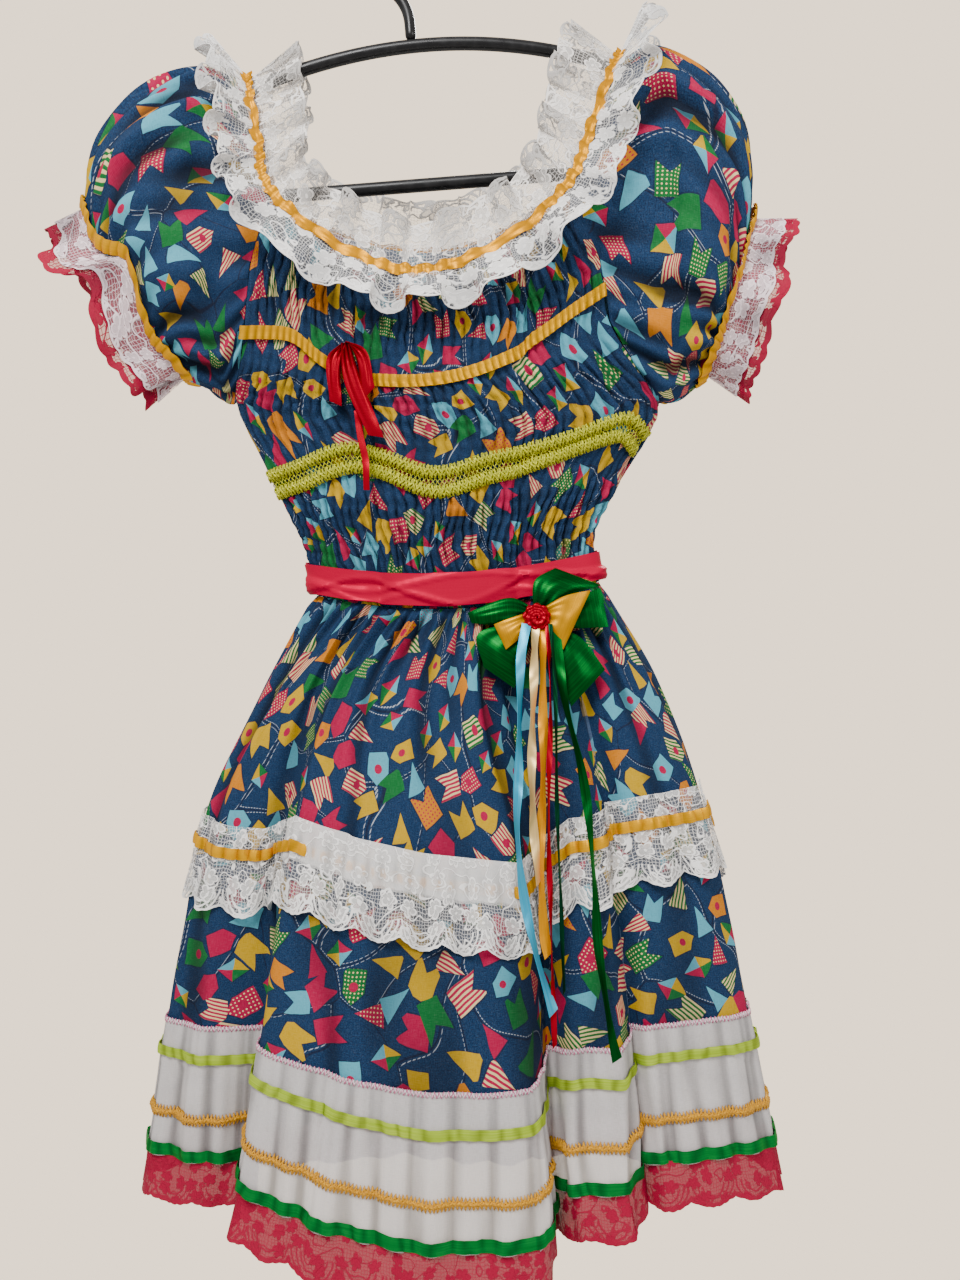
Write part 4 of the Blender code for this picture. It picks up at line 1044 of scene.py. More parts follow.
@dataclass(frozen=True)
class Yarn(Finish):
    """Braid, gimp or sewing thread."""

    colour: tuple[float, float, float] = (1.0, 1.0, 1.0)
    glint: tuple[float, float, float] = (1.0, 1.0, 1.0)
    shine: float = 0.0

    def draw(self, g: Graph, shader: bpy.types.Node) -> None:
        """Plied yarn."""
        yarn = TwistedYarn().place(g, Vector=self.object_place(g), Color=(*self.colour, 1.0), Glint=(*self.glint, 1.0))
        g.feed(yarn["Color"], shader.inputs["Base Color"])
        shader.inputs["Roughness"].default_value = 0.5
        shader.inputs["Metallic"].default_value = self.shine
        self.bump(g, shader, yarn["Height"], 0.4, 0.0004)


@dataclass(frozen=True)
class BlackPlastic(Finish):
    """Glossy moulded black plastic with faint scuffs."""

    def draw(self, g: Graph, shader: bpy.types.Node) -> None:
        """Gloss broken by scuffs."""
        place = g.scaled(self.object_place(g), 1000.0)
        scuff, _ = g.noise(place, 0.12, 5.0)
        grain, _ = g.noise(place, 1.3, 2.0)
        g.feed(g.mix(g.above(scuff, 0.62, 0.3), (0.004, 0.004, 0.005, 1.0), (0.012, 0.012, 0.013, 1.0)),
               shader.inputs["Base Color"])
        g.feed(g.math("MULTIPLY_ADD", scuff, 0.35, 0.16), shader.inputs["Roughness"])
        shader.inputs["Specular IOR Level"].default_value = 0.3
        self.bump(g, shader, grain, 0.08, 0.0003)


COTTON = PrintedCotton("festa cotton")
COTTON_BACK = PrintedCotton("festa cotton reverse", reverse=True)
WHITE_LACE = Lace("white lace", lobe=38.0, motif=19.0, cover=0.05, fill=0.36, thread=0.46)
FRONT_LACE = replace(WHITE_LACE, name="front white lace", band=(36.0, 150.0, 396.0))
LOWER_LACE = Lace("lower neck lace", net=2.6, lobe=20.0, motif=22.0, cover=0.05, fill=0.72, thread=0.50, shade=0.45)
UPPER_LACE = Lace("upper neck lace", colour=(0.82, 0.78, 0.74), net=2.6, lobe=20.0, motif=22.0, cover=0.05, fill=0.42,
                  thread=0.40, shade=0.55)
RED_LACE = Lace("red lace", colour=(0.30, 0.0005, 0.028), net=2.4, lobe=38.0, motif=14.0, cover=0.76, fill=0.98,
                thread=0.92, border=3.4)
CUFF_RED_LACE = Lace("red cuff lace", colour=(0.32, 0.0005, 0.030), net=2.3, lobe=12.0, motif=12.0, cover=0.36, fill=0.88,
                     thread=0.95, border=4.5)
CUFF_WHITE_LACE = Lace("white cuff lace", colour=(0.82, 0.68, 0.72), net=2.3, lobe=12.0, motif=15.0, cover=0.06, fill=0.55, thread=0.50, shade=0.7)
GOLD = Satin("gold satin ribbon", (0.66, 0.310, 0.0002), (0.88, 0.450, 0.0005), 0.45)
BOW_GOLD = Satin("gold bow satin", (0.42, 0.185, 0.00005), (0.66, 0.320, 0.0001), 0.4, 0.08)
STREAMER_GOLD = Satin("gold streamer satin", (0.52, 0.205, 0.0001), (0.84, 0.370, 0.0003), 0.4, 0.08)
NECK_GOLD = Satin("gold neck satin", (0.46, 0.190, 0.0001), (0.60, 0.270, 0.0002), 0.3, 0.1)
CRIMSON = Satin("crimson satin ribbon", (0.43, 0.0001, 0.032), (0.50, 0.0001, 0.038), 0.12, 0.1)
RED = Satin("red satin ribbon", (0.28, 0.0003, 0.010), (0.44, 0.0008, 0.022))
GREEN = Satin("green satin ribbon", (0.0002, 0.034, 0.005), (0.001, 0.160, 0.026), 0.75)
DARK_GREEN = Satin("dark green satin ribbon", (0.001, 0.018, 0.007), (0.003, 0.040, 0.015))
CREAM = Satin("cream satin ribbon", (0.66, 0.44, 0.16), (0.85, 0.66, 0.32))
BLUE = Satin("pale blue satin ribbon", (0.003, 0.27, 0.45), (0.16, 0.46, 0.60), 0.45)
LIME = Satin("lime satin ribbon", (0.33, 0.50, 0.014), (0.78, 0.92, 0.16), 0.6)
EMERALD = Satin("emerald satin ribbon", (0.001, 0.150, 0.024), (0.012, 0.34, 0.07), 0.6)
ORGANZA = Organza("white organza")
BRAID = Yarn("lime gold braid", (0.27, 0.28, 0.001), (0.72, 0.70, 0.015), 0.15)
GIMP = Yarn("gold gimp", (0.50, 0.220, 0.0002), (0.72, 0.37, 0.004), 0.1)
PINK_THREAD = Yarn("pink overlock thread", (0.55, 0.10, 0.24), (0.70, 0.25, 0.38))
WHITE_THREAD = Yarn("white overlock thread", (0.72, 0.70, 0.70), (0.82, 0.80, 0.80))
PLASTIC = BlackPlastic("black plastic")


# ---------- geometry nodes ----------

@dataclass(frozen=True)
class WavingCord:
    """Geometry Nodes tree that lays a waving cord along lines of points that carry their facing."""

    name: str = "waving_cord"
    inputs: tuple[tuple[str, str, object], ...] = (
        ("Geometry", "NodeSocketGeometry", None), ("Wave Length", "NodeSocketFloat", 0.005),
        ("Wave Height", "NodeSocketFloat", 0.003), ("Lift", "NodeSocketFloat", 0.0005),
        ("Phase", "NodeSocketFloat", 0.0), ("Steps", "NodeSocketInt", 6),
        ("Cord Radius", "NodeSocketFloat", 0.0006), ("Sides", "NodeSocketInt", 4),
        ("Material", "NodeSocketMaterial", None),
    )

    def tree(self) -> bpy.types.NodeTree:
        """The tree, built the first time."""
        if self.name in bpy.data.node_groups:
            return bpy.data.node_groups[self.name]
        tree = bpy.data.node_groups.new(self.name, "GeometryNodeTree")
        for label, kind, value in self.inputs:
            socket = tree.interface.new_socket(name=label, in_out="INPUT", socket_type=kind)
            if value is not None:
                socket.default_value = value
        tree.interface.new_socket(name="Geometry", in_out="OUTPUT", socket_type="NodeSocketGeometry")
        g = Graph(tree)
        start, end = g.add("NodeGroupInput"), g.add("NodeGroupOutput")
        given = {label: start.outputs[label] for label, _, _ in self.inputs}
        line = g.add("GeometryNodeMeshToCurve")
        g.feed(given["Geometry"], line.inputs[0])
        even = g.add("GeometryNodeResampleCurve", mode="LENGTH")
        g.feed(line.outputs[0], even.inputs["Curve"])
        g.feed(g.math("DIVIDE", given["Wave Length"], given["Steps"]), even.inputs["Length"])
        facing = g.add("GeometryNodeInputNamedAttribute", data_type="FLOAT_VECTOR")
        facing.inputs["Name"].default_value = FACING
        front = facing.outputs[0]
        ahead = g.add("GeometryNodeInputTangent").outputs[0]
        side = g.vector("NORMALIZE", g.vector("CROSS_PRODUCT", ahead, front))
        turn = g.math("DIVIDE", 2.0 * math.pi, given["Steps"])
        angle = g.math("MULTIPLY_ADD", g.add("GeometryNodeInputIndex").outputs[0], turn, given["Phase"])
        swing = g.math("MULTIPLY", g.math("SINE", angle), given["Wave Height"])
        lift = g.math("MULTIPLY", g.math("COSINE", g.math("MULTIPLY", angle, 2.0)), given["Lift"])
        along = g.math("MULTIPLY", g.math("SINE", g.math("MULTIPLY", angle, 2.0)), g.math("MULTIPLY", given["Wave Length"], 0.18))
        offset = g.vector("ADD", g.scaled(side, swing), g.vector("ADD", g.scaled(front, lift), g.scaled(ahead, along)))
        bent = g.add("GeometryNodeSetPosition")
        g.feed(even.outputs[0], bent.inputs["Geometry"])
        g.feed(offset, bent.inputs["Offset"])
        ring = g.add("GeometryNodeCurvePrimitiveCircle", mode="RADIUS")
        g.feed(given["Sides"], ring.inputs["Resolution"])
        g.feed(given["Cord Radius"], ring.inputs["Radius"])
        body = g.add("GeometryNodeCurveToMesh")
        g.feed(bent.outputs[0], body.inputs["Curve"])
        g.feed(ring.outputs[0], body.inputs["Profile Curve"])
        body.inputs["Fill Caps"].default_value = True
        real = g.add("GeometryNodeRealizeInstances")
        g.feed(body.outputs[0], real.inputs[0])
        painted = g.add("GeometryNodeSetMaterial")
        g.feed(real.outputs[0], painted.inputs["Geometry"])
        g.feed(given["Material"], painted.inputs["Material"])
        g.feed(painted.outputs[0], end.inputs[0])
        return tree

    def lay(self, name: str, lines: list[tuple[Array, Array]], finish: Finish,
            **sizes: float) -> bpy.types.Object:
        """Cord along lines of points.

        Args:
            name: Name of the piece.
            lines: For each line, its points and its facing directions, in millimetres.
            finish: Finish of the cord.
            sizes: Values for the tree's inputs, by name with underscores, in millimetres.

        Returns:
            Object with a plain mesh.
        """
        points = np.concatenate([line for line, _ in lines]) * MM
        facing = np.concatenate([way for _, way in lines])
        edges, base = [], 0
        for line, _ in lines:
            edges += [(base + step, base + step + 1) for step in range(len(line) - 1)]
            base += len(line)
        mesh = bpy.data.meshes.new(name)
        mesh.from_pydata(points.tolist(), edges, [])
        attribute = mesh.attributes.new(FACING, "FLOAT_VECTOR", "POINT")
        attribute.data.foreach_set("vector", facing.astype(np.float32).ravel())
        item = bpy.data.objects.new(name, mesh)
        bpy.context.collection.objects.link(item)
        modifier = item.modifiers.new(self.name, "NODES")
        modifier.node_group = self.tree()
        values = {key.replace("_", " "): value for key, value in sizes.items()}
        whole = ("Phase", "Steps", "Sides")
        for socket in modifier.node_group.interface.items_tree:
            if socket.name in values and socket.in_out == "INPUT":
                value = values[socket.name]
                modifier[socket.identifier] = value if socket.name in whole else value * MM
            elif socket.name == "Material":
                modifier[socket.identifier] = finish.material()
        bpy.context.view_layer.update()
        graph = bpy.context.evaluated_depsgraph_get()
        made = bpy.data.meshes.new_from_object(item.evaluated_get(graph))
        item.modifiers.clear()
        item.data = made
        made.shade_smooth()
        if FACING in made.attributes:
            made.attributes.remove(made.attributes[FACING])
        return item


def merge(name: str, items: list[bpy.types.Object]) -> bpy.types.Object:
    """Several plain objects as one, with their materials kept."""
    points, faces, index, materials, base = [], [], [], [], 0
    for item in items:
        mesh = item.data
        own = np.empty(len(mesh.vertices) * 3, np.float32)
        mesh.vertices.foreach_get("co", own)
        points.append(own.reshape(-1, 3))
        material = mesh.materials[0]
        if material not in materials:
            materials.append(material)
        for polygon in mesh.polygons:
            faces.append([base + vertex for vertex in polygon.vertices])
            index.append(materials.index(material))
        base += len(mesh.vertices)
        bpy.data.objects.remove(item, do_unlink=True)
    mesh = bpy.data.meshes.new(name)
    mesh.from_pydata(np.concatenate(points).tolist(), [], faces)
    for material in materials:
        mesh.materials.append(material)
    mesh.polygons.foreach_set("material_index", np.array(index, np.int32))
    mesh.shade_smooth()
    joined = bpy.data.objects.new(name, mesh)
    bpy.context.collection.objects.link(joined)
    return joined


# ---------- pieces ----------

@dataclass
class Hanger:
    """Tubular plastic hanger: an arc, rounded ends and a lower bar, and a hook on a stem."""

    tube_radius: float = 5.2
    arc_top: float = -94.8
    arc_middle: float = 4.0
    arc_tilt: float = 0.1
    arc_fall: float = 1.0 / 792.0
    bar_middle: float = -207.0
    bar_tilt: float = 0.079
    hook_inner: float = 22.0
    hook_wire: float = 4.4
    sides: int = 20

    def arc_height(self, x: float) -> float:
        """Height of the arc's centre line at x."""
        across = x - self.arc_middle
        return self.arc_top + self.arc_tilt * across - self.arc_fall * across * across

    def rod(self, name: str, path: Array, radius: float, closed: bool) -> bpy.types.Object:
        """Round bar along a path in the XZ plane, with rounded ends where it is open."""
        radii = np.full(len(path), radius)
        if not closed:
            for end in (slice(0, 4), slice(-1, -5, -1)):
                radii[end] = radius * np.array((0.25, 0.72, 0.93, 1.0))
        ahead, behind = np.roll(path, -1, 0), np.roll(path, 1, 0)
        if not closed:
            ahead[-1], behind[0] = path[-1], path[0]
        side = np.cross(unit(ahead - behind), (0.0, 1.0, 0.0))
        turn = np.linspace(0.0, 2.0 * math.pi, self.sides, endpoint=False)
        ring = (np.cos(turn)[None, :, None] * side[:, None]
                + np.sin(turn)[None, :, None] * np.array((0.0, 1.0, 0.0)))
        points = path[:, None] + radii[:, None, None] * ring
        count, sides = points.shape[:2]
        here = np.arange(count if closed else count - 1)[:, None]
        there = (here + 1) % count
        turn = np.arange(sides)[None]
        after = (turn + 1) % sides
        faces = np.stack([here * sides + turn, there * sides + turn, there * sides + after, here * sides + after], -1)
        mesh = bpy.data.meshes.new(name)
        all_faces = faces.reshape(-1, 4).tolist()
        if not closed:
            all_faces += [list(range(sides)), list(range((count - 1) * sides, count * sides))[::-1]]
        mesh.from_pydata((points.reshape(-1, 3) * MM).tolist(), [], all_faces)
        mesh.materials.append(PLASTIC.material())
        mesh.shade_smooth()
        item = bpy.data.objects.new(name, mesh)
        bpy.context.collection.objects.link(item)
        return item

    def build(self) -> None:
        """Tube and hook."""
        loop = [(x, 0.0, self.arc_height(x)) for x in np.linspace(-172.0, 184.0, 11)]
        end, start = np.array(loop[-1]), np.array(loop[0])
        loop += [tuple(end + (18, 0, -11)), tuple(end + (27, 0, -32)), tuple(end + (23, 0, -58))]
        loop += [(x, 0.0, self.bar_middle + self.bar_tilt * x) for x in np.linspace(176.0, -160.0, 6)]
        loop += [tuple(start + (-14, 0, -68)), tuple(start + (-29, 0, -40)), tuple(start + (-22, 0, -15))]
        smooth = smooth_path(loop, 6, closed=True)
        ring = even_path(np.vstack([smooth, smooth[:1]]), 220)[:-1]
        publish(self.rod("hanger_tube", ring, self.tube_radius, True), Slot.HANGER, ("hanger_frame",))
        middle = self.hook_inner + self.hook_wire
        foot = self.arc_height(0.0) + self.tube_radius - 1.0
        stem = [(1, 0, foot), (-1, 0, -72), (-6, 0, -60), (-17, 0, -46)]
        curl = [(-middle * math.cos(angle), 0, -self.hook_inner + middle * math.sin(angle))
                for angle in np.radians(np.linspace(-12, 210, 9))]
        path = even_path(smooth_path(stem + curl, 8), 110)
        publish(self.rod("hanger_hook_rod", path, self.hook_wire, False), Slot.HANGER, ("hanger_hook",))


@dataclass
class Neckline:
    """Loop of the neck, with the gathered lace's two frills and the ribbon over its middle."""

    hanger: Hanger
    steps: int = 30
    frill: float = 38.0
    frill_waves: int = 27
    wave_height: float = 9.5
    ribbon: float = 9.0
    thickness: float = 0.5

    def loop(self, steps: int) -> tuple[Array, Array, Array]:
        """Points of the neckline and the frills' directions, with some steps between stations."""
        saddle = self.hanger.tube_radius + 3.0
        places = [(x, y, self.hanger.arc_height(x) + saddle if z is None else z) for x, y, z in (row[:3] for row in NECK)]
        return (smooth_path(places, steps, closed=True),
                unit(smooth_path([row[3:6] for row in NECK], steps, closed=True)),
                unit(smooth_path([row[6:9] for row in NECK], steps, closed=True)))

    def part(self, first: int, last: int, steps: int = 12) -> Array:
        """Points from one station to another, going round."""
        points, _, _ = self.loop(steps)
        count = (last - first) % len(NECK) * steps
        return np.array([points[(first * steps + step) % len(points)] for step in range(count + 1)])

    def frill_surface(self, base: Array, way: Array, lift: Array, seed: int, room: float,
                      sign: int) -> tuple[Surface, Array, Array]:
        """One frill from its gathered line out, or from its edge where sign is -1.

        Args:
            base: Points of the gathered line.
            way: Directions outwards.
            lift: Directions away from the cloth.
            seed: Fixed seed of its unevenness.
            room: Distance from the cloth at the gathered line.
            sign: 1 or -1.

        Returns:
            The surface, its places on the flat lace, and the painted shade of each point, strongest in the troughs of
            the waves.
        """
        tangent = unit(np.roll(base, -1, 0) - np.roll(base, 1, 0))
        count = len(base)
        turn = 2.0 * math.pi * np.arange(count) / count
        drift = sum(np.sin(turn * pace + seed * pace) / pace for pace in (2, 3, 5, 7))
        phase = self.frill_waves * turn + 1.7 * drift
        size = 1.0 + 0.30 * np.sin(5.0 * turn + seed) + 0.25 * np.sin(11.0 * turn + 2.0 * seed)
        rise = np.sin(phase) + 0.35 * np.sin(2.0 * phase + 1.0 + drift)
        wider = 1.10 + 0.22 * np.clip((base[:, 2] + 190.0) / 70.0, 0.0, 1.0)
        rows = []
        shares = np.linspace(0.0, 1.0, 13)
        for share in shares:
            scallop = 1.0 - 0.06 * share * (1.0 - np.abs(np.cos(1.5 * phase)))
            curl = 1.0 - 0.14 * share * size * (0.5 + 0.5 * rise)
            reach = (self.frill * wider * share * scallop * curl)[:, None]
            swing = (self.wave_height * size * share ** 0.75)[:, None]
            rows.append(base + way * reach + lift * (room + 0.05 * reach + swing * (0.60 + 0.5 * rise[:, None]))
                        - tangent * swing * 0.36 * np.sin(2.0 * phase)[:, None])
        points = np.array(rows)
        surface = Surface(points if sign > 0 else points[::-1], shares, True)
        # Painted shade in the troughs of the waves, rising from none at the gathered line.
        depth = np.clip(0.35 - 0.65 * rise, 0.0, 1.0) * np.clip(shares[::sign], 0.0, 0.6)[:, None] / 0.6
        return surface, by_lobes(cloth_map(surface, from_foot=sign > 0), 1.5 * phase, 20.0), depth

    def ribbon_surface(self, points: Array, lower: Array, upper: Array) -> tuple[Surface, Array]:
        """Gathered ribbon over the line where the two frills meet, and its painted shade between the puckers."""
        tangent = unit(np.roll(points, -1, 0) - np.roll(points, 1, 0))
        lift = unit(np.cross(lower, tangent) + np.cross(tangent, upper))
        count = len(points)
        turn = 2.0 * math.pi * np.arange(count) / count
        pucker = np.sin(104.0 * turn + 5.0 * np.sin(9.0 * turn)) * (0.75 + 0.25 * np.sin(13.0 * turn + 1.0))
        rows = []
        shares = np.linspace(-1.0, 1.0, 7)
        for share in shares:
            way = lower if share > 0 else upper
            half = 0.5 * self.ribbon * (1.0 + 0.30 * np.sin(61.0 * turn + 1.5 * share + 3.0 * np.sin(9.0 * turn)))
            reach = abs(share) * half[:, None]
            height = 2.8 + 1.0 * (1.0 - share * share) + 1.6 * pucker * (0.4 + 0.6 * abs(share))
            rows.append(points + way * reach + lift * height[:, None])
        return Surface(np.array(rows), shares, True), np.clip(-0.7 * pucker, 0.0, 1.0)[None] * np.ones((7, 1))

    def build(self) -> None:
        """Both frills and the ribbon."""
        points, lower, upper = self.loop(self.steps)
        tangent = unit(np.roll(points, -1, 0) - np.roll(points, 1, 0))
        low, cloth, fold_shade = self.frill_surface(points, lower, unit(np.cross(lower, tangent)), 1, 1.2, 1)
        item = wall("neck_lace_lower", low, 0.0, self.thickness, cloth, [LOWER_LACE], fold_shade)
        publish(item, Slot.WHITE_LACE, ("neck_frill_lower",))
        high, cloth, fold_shade = self.frill_surface(points + upper * 2.2, upper, unit(np.cross(upper, tangent)), 4, 0.0, -1)
        item = wall("neck_lace_upper", high, 0.0, self.thickness, cloth, [UPPER_LACE], fold_shade)
        publish(item, Slot.WHITE_LACE, ("neck_frill_upper",))
        band, fold_shade = self.ribbon_surface(points, lower, upper)
        item = wall("neck_gold_ribbon", band, 0.0, 0.5, cloth_map(band, 1.3), [NECK_GOLD], fold_shade)
        publish(item, Slot.GOLD, ("neck_ribbon",))


@dataclass
class Bodice:
    """Shirred front and back, with the chest ribbon, the crochet braid and the belt."""

    neckline: Neckline
    cloth: float = 1.2
    seam: float = 0.5
    front_columns: int = 310
    back_columns: int = 176
    row_pitch: float = 2.9
    rib_pitch: float = 7.2
    rib_height: float = 4.2
    elastic_pitch: float = 11.0
    crease_width: float = 9.0
    ribbon_width: float = 10.0
    braid_width: float = 26.0
    belt_width: float = 20.0

    def section(self, row: tuple[float, ...], face: int, pieces: int) -> Array:
        """One level of a panel from its left edge to its right one, round at both."""
        left, right = np.array(row[0:3], float), np.array(row[3:6], float)
        left[1] += face * 0.5 * self.seam
        right[1] += face * 0.5 * self.seam
        sag = row[7] - 0.5 * (left[2] + right[2])
        share = 0.5 * (1.0 - np.cos(np.linspace(0.0, math.pi, 161)))[:, None]
        path = left + share * (right - left)
        swell = np.maximum(np.sin(math.pi * share[:, 0]), 0.0) ** row[8]
        path[:, 1] += (row[6] - path[:, 1]) * swell
        path[:, 2] += sag * 4.0 * share[:, 0] * (1.0 - share[:, 0])
        return even_path(path, pieces)

    def base(self, table: tuple, top: Array, face: int, columns: int) -> Surface:
        """Smooth panel from the neckline to the waist."""
        rows = [even_path(top, columns)] + [self.section(row, face, columns) for row in table]
        grid = np.array(rows)
        steps = [max(2, round(float(np.linalg.norm(gap, axis=1).mean()) / self.row_pitch)) for gap in np.diff(grid, axis=0)]
        levels = np.concatenate([index + np.arange(count) / count for index, count in enumerate(steps)] + [[len(steps)]])
        dense = smooth_path(grid, steps, tension=0.4)
        dense[:, 0, 0] += self.seam
        dense[:, -1, 0] -= self.seam
        return Surface(dense, levels)

    def shirred(self, base: Surface, seed: int, pressed_levels: tuple[tuple[float, float], ...]) -> tuple[Surface, Array]:
        """The panel with the puckers between its rows of elastic thread, and its painted shade in the hollows between
        them.
        """
        u, v = base.places()
        u = u - u.mean()
        phase = 2.0 * math.pi * u / self.rib_pitch + 2.2 * wander(u, v, seed, 70.0) + 0.9 * wander(u, v, seed + 1, 22.0)
        pucker = np.abs(np.sin(0.5 * phase)) ** 0.8
        fine = 0.22 * np.sin(2.3 * phase + 3.0 * wander(u, v, seed + 2, 30.0))
        swell = 0.45 + 0.55 * np.abs(np.sin(math.pi * v / self.elastic_pitch + 0.35 * wander(u, v, seed + 3, 80.0))) ** 0.8
        start = np.clip(v / 12.0, 0.15, 1.0)
        edge = np.clip(np.minimum(u - u.min(), u.max() - u) / 9.0, 0.0, 1.0)
        pressed = np.ones(len(base.levels))
        for level, reach in pressed_levels:
            pressed -= 0.6 * np.exp(-((base.levels - level) / reach) ** 4)
        swell = swell * np.clip(pressed, 0.35, 1.0)[:, None]
        height = self.rib_height * (pucker + fine) * swell * start * edge + 0.5 * wander(u, v, seed + 4, 55.0) * edge * start
        # Painted shade: darkest between the puckers and in the low swells.
        deep = (1.0 - pucker) ** 1.3 * swell * start * edge + 0.25 * np.clip(-wander(u, v, seed + 4, 55.0), 0.0, 1.0)
        return base.raised(height), deep

    def front(self) -> Surface:
        """Smooth front with its deep creases."""
        base = self.base(FRONT_BODICE, self.neckline.part(18, 2), -1, self.front_columns)
        shares = base.levels[:, None] / base.levels[-1]
        for top, bottom, depth in CREASES:
            middle = top + (bottom - top) * shares
            base.points[..., 1] += depth * np.exp(-((base.points[..., 0] - middle) / self.crease_width) ** 2)
        return base

    def back(self) -> Surface:
        """Smooth back, from the right edge to the left one as seen from behind."""
        base = self.base(BACK_BODICE, self.neckline.part(8, 12)[::-1], 1, self.back_columns)
        base.points = base.points[:, ::-1]
        return base

    def band(self, surface: Surface, line: tuple[tuple[float, float], ...], width: float, count: int) -> Surface:
        """Strip of a panel, as wide as given in millimetres, about a line given as x and level."""
        dense = smooth_path(np.array(line, float), 10)
        across = surface.rows(np.array([line[len(line) // 2][1]])).points[0][:, 0]
        centre = np.interp(across, dense[:, 0], dense[:, 1])
        pitch = np.linalg.norm(surface.at_levels(centre + 0.25) - surface.at_levels(centre - 0.25), axis=1) / 0.5
        offsets = np.linspace(-0.5, 0.5, count)
        return Surface(np.array([surface.at_levels(centre + offset * width / pitch) for offset in offsets]), offsets)

    def ruched(self, strip: Surface, low: float, pitch: float, height: float) -> tuple[Surface, Array]:
        """Narrow ribbon gathered along its middle, and its painted shade between the puckers."""
        u, v = strip.places()
        across = np.linspace(-1.0, 1.0, len(strip.levels))[:, None]
        pucker = np.sin(2.0 * math.pi * u / pitch + 2.0 * wander(u, v * 0.0, 5, 40.0))
        rise = (0.5 + 0.5 * pucker) * (0.35 + 0.65 * np.abs(across))
        return strip.raised(low + height * rise + 0.5 * (1.0 - across ** 2)), (0.5 - 0.5 * pucker) * np.ones_like(across)

    def build_braid(self, front: Surface) -> None:
        """Crochet braid: two looped borders with an open ladder between them."""
        strip = self.band(front, BRAID_LINE, self.braid_width - 11.0, 5)
        ways = strip.normals()
        cords = []
        for row in (0, 4):
            for phase, lift in ((0.0, 3.2), (2.1, 3.8), (4.2, 4.4)):
                line = strip.points[row, 7:-7] + ways[row, 7:-7] * lift
                cords.append(WavingCord().lay("cord", [(line, ways[row, 7:-7])], BRAID, Wave_Length=6.4, Wave_Height=5.0,
                                              Lift=0.9, Phase=phase, Steps=8, Cord_Radius=1.0, Sides=4))
        middle = strip.points[2, 7:-7] + ways[2, 7:-7] * 3.0
        for phase in (0.0, math.pi):
            cords.append(WavingCord().lay("cord", [(middle, ways[2, 7:-7])], BRAID, Wave_Length=7.0, Wave_Height=4.2,
                                          Lift=0.3, Phase=phase, Steps=8, Cord_Radius=0.45, Sides=4))
        publish(merge("lime_crochet_braid", cords), Slot.BRAID, ("lime_braid",))

    def build_belt(self, front: Surface, back: Surface) -> None:
        """Crimson ribbon with soft folds along it."""
        columns = 150
        rings = []
        wanted = np.linspace(6.42, 6.94, 15)
        last = back.levels[-1]
        ratio = (front.points[-1, 0, 2] - front.rows(np.array([6.0])).points[0, 0, 2]) / (
            back.points[-1, 0, 2] - back.rows(np.array([last - 1.0])).points[0, 0, 2])
        for level in wanted:
            front_row = even_path(front.rows(np.array([level])).points[0], 240)
            back_row = even_path(back.rows(np.array([last - (7.0 - level) * ratio])).points[0], columns)
            rings.append(np.concatenate([front_row, back_row[1:-1]]))
        ring = Surface(np.array(rings), wanted, True)
        share = np.linspace(0.0, 1.0, len(wanted))[:, None]
        turn = 2.0 * math.pi * np.arange(ring.points.shape[1])[None] / ring.points.shape[1]
        folds = np.zeros((len(wanted), ring.points.shape[1]))
        for middle, swing, pace, start, rise in ((0.30, 0.30, 2.0, 0.4, 1.8), (0.62, 0.34, 3.0, 2.1, -1.6), (0.78, 0.20, 5.0, 4.0, 1.2)):
            line = middle + swing * np.sin(pace * turn + start)
            folds += rise * np.clip((share - line) / 0.10 + 0.5, 0.0, 1.0) + 0.5 * abs(rise) * np.exp(-((share - line) / 0.07) ** 2)
        # Painted shade on the slopes of the folds that face down, and a little over the whole belt.
        fold_shade = 0.7 * np.clip(0.5 - 0.5 * np.gradient(folds, axis=0) / 0.35, 0.0, 1.0) - 0.25
        ring = ring.raised(3.4 + folds)
        item = wall("waist_belt", ring, 0.0, 1.0, cloth_map(ring), [CRIMSON], fold_shade)
        publish(item, Slot.CRIMSON, ("belt",))

    def build(self) -> tuple[Surface, Surface]:
        """Panels and trims.

        Returns:
            The smooth front and back, whose last rows carry the skirt.
        """
        front, back = self.front(), self.back()
        trims = ((1.85, 0.45), (4.1, 0.75), (6.7, 0.38))
        for name, base, seed, cut, pressed in (("bodice_front", front, 11, (0.52, 0.26), trims),
                                               ("bodice_back", back, 31, (0.52, 0.26), ((5.6, 0.5),))):
            panel, fold_shade = self.shirred(base, seed, pressed)
            item = wall(f"{name}_cloth", panel, -self.cloth, 0.0, cloth_map(base, 1.55), [COTTON, COTTON_BACK], fold_shade)
            publish(item, Slot.COTTON, (name,))
        strip, fold_shade = self.ruched(self.band(front, CHEST_LINE, self.ribbon_width, 7), 2.6, 6.0, 1.6)
        item = wall("chest_gold_ribbon", strip, 0.0, 0.5, cloth_map(strip, 1.3), [GOLD], fold_shade)
        publish(item, Slot.GOLD, ("chest_ribbon",))
        self.build_braid(front)
        self.build_belt(front, back)
        return front, back


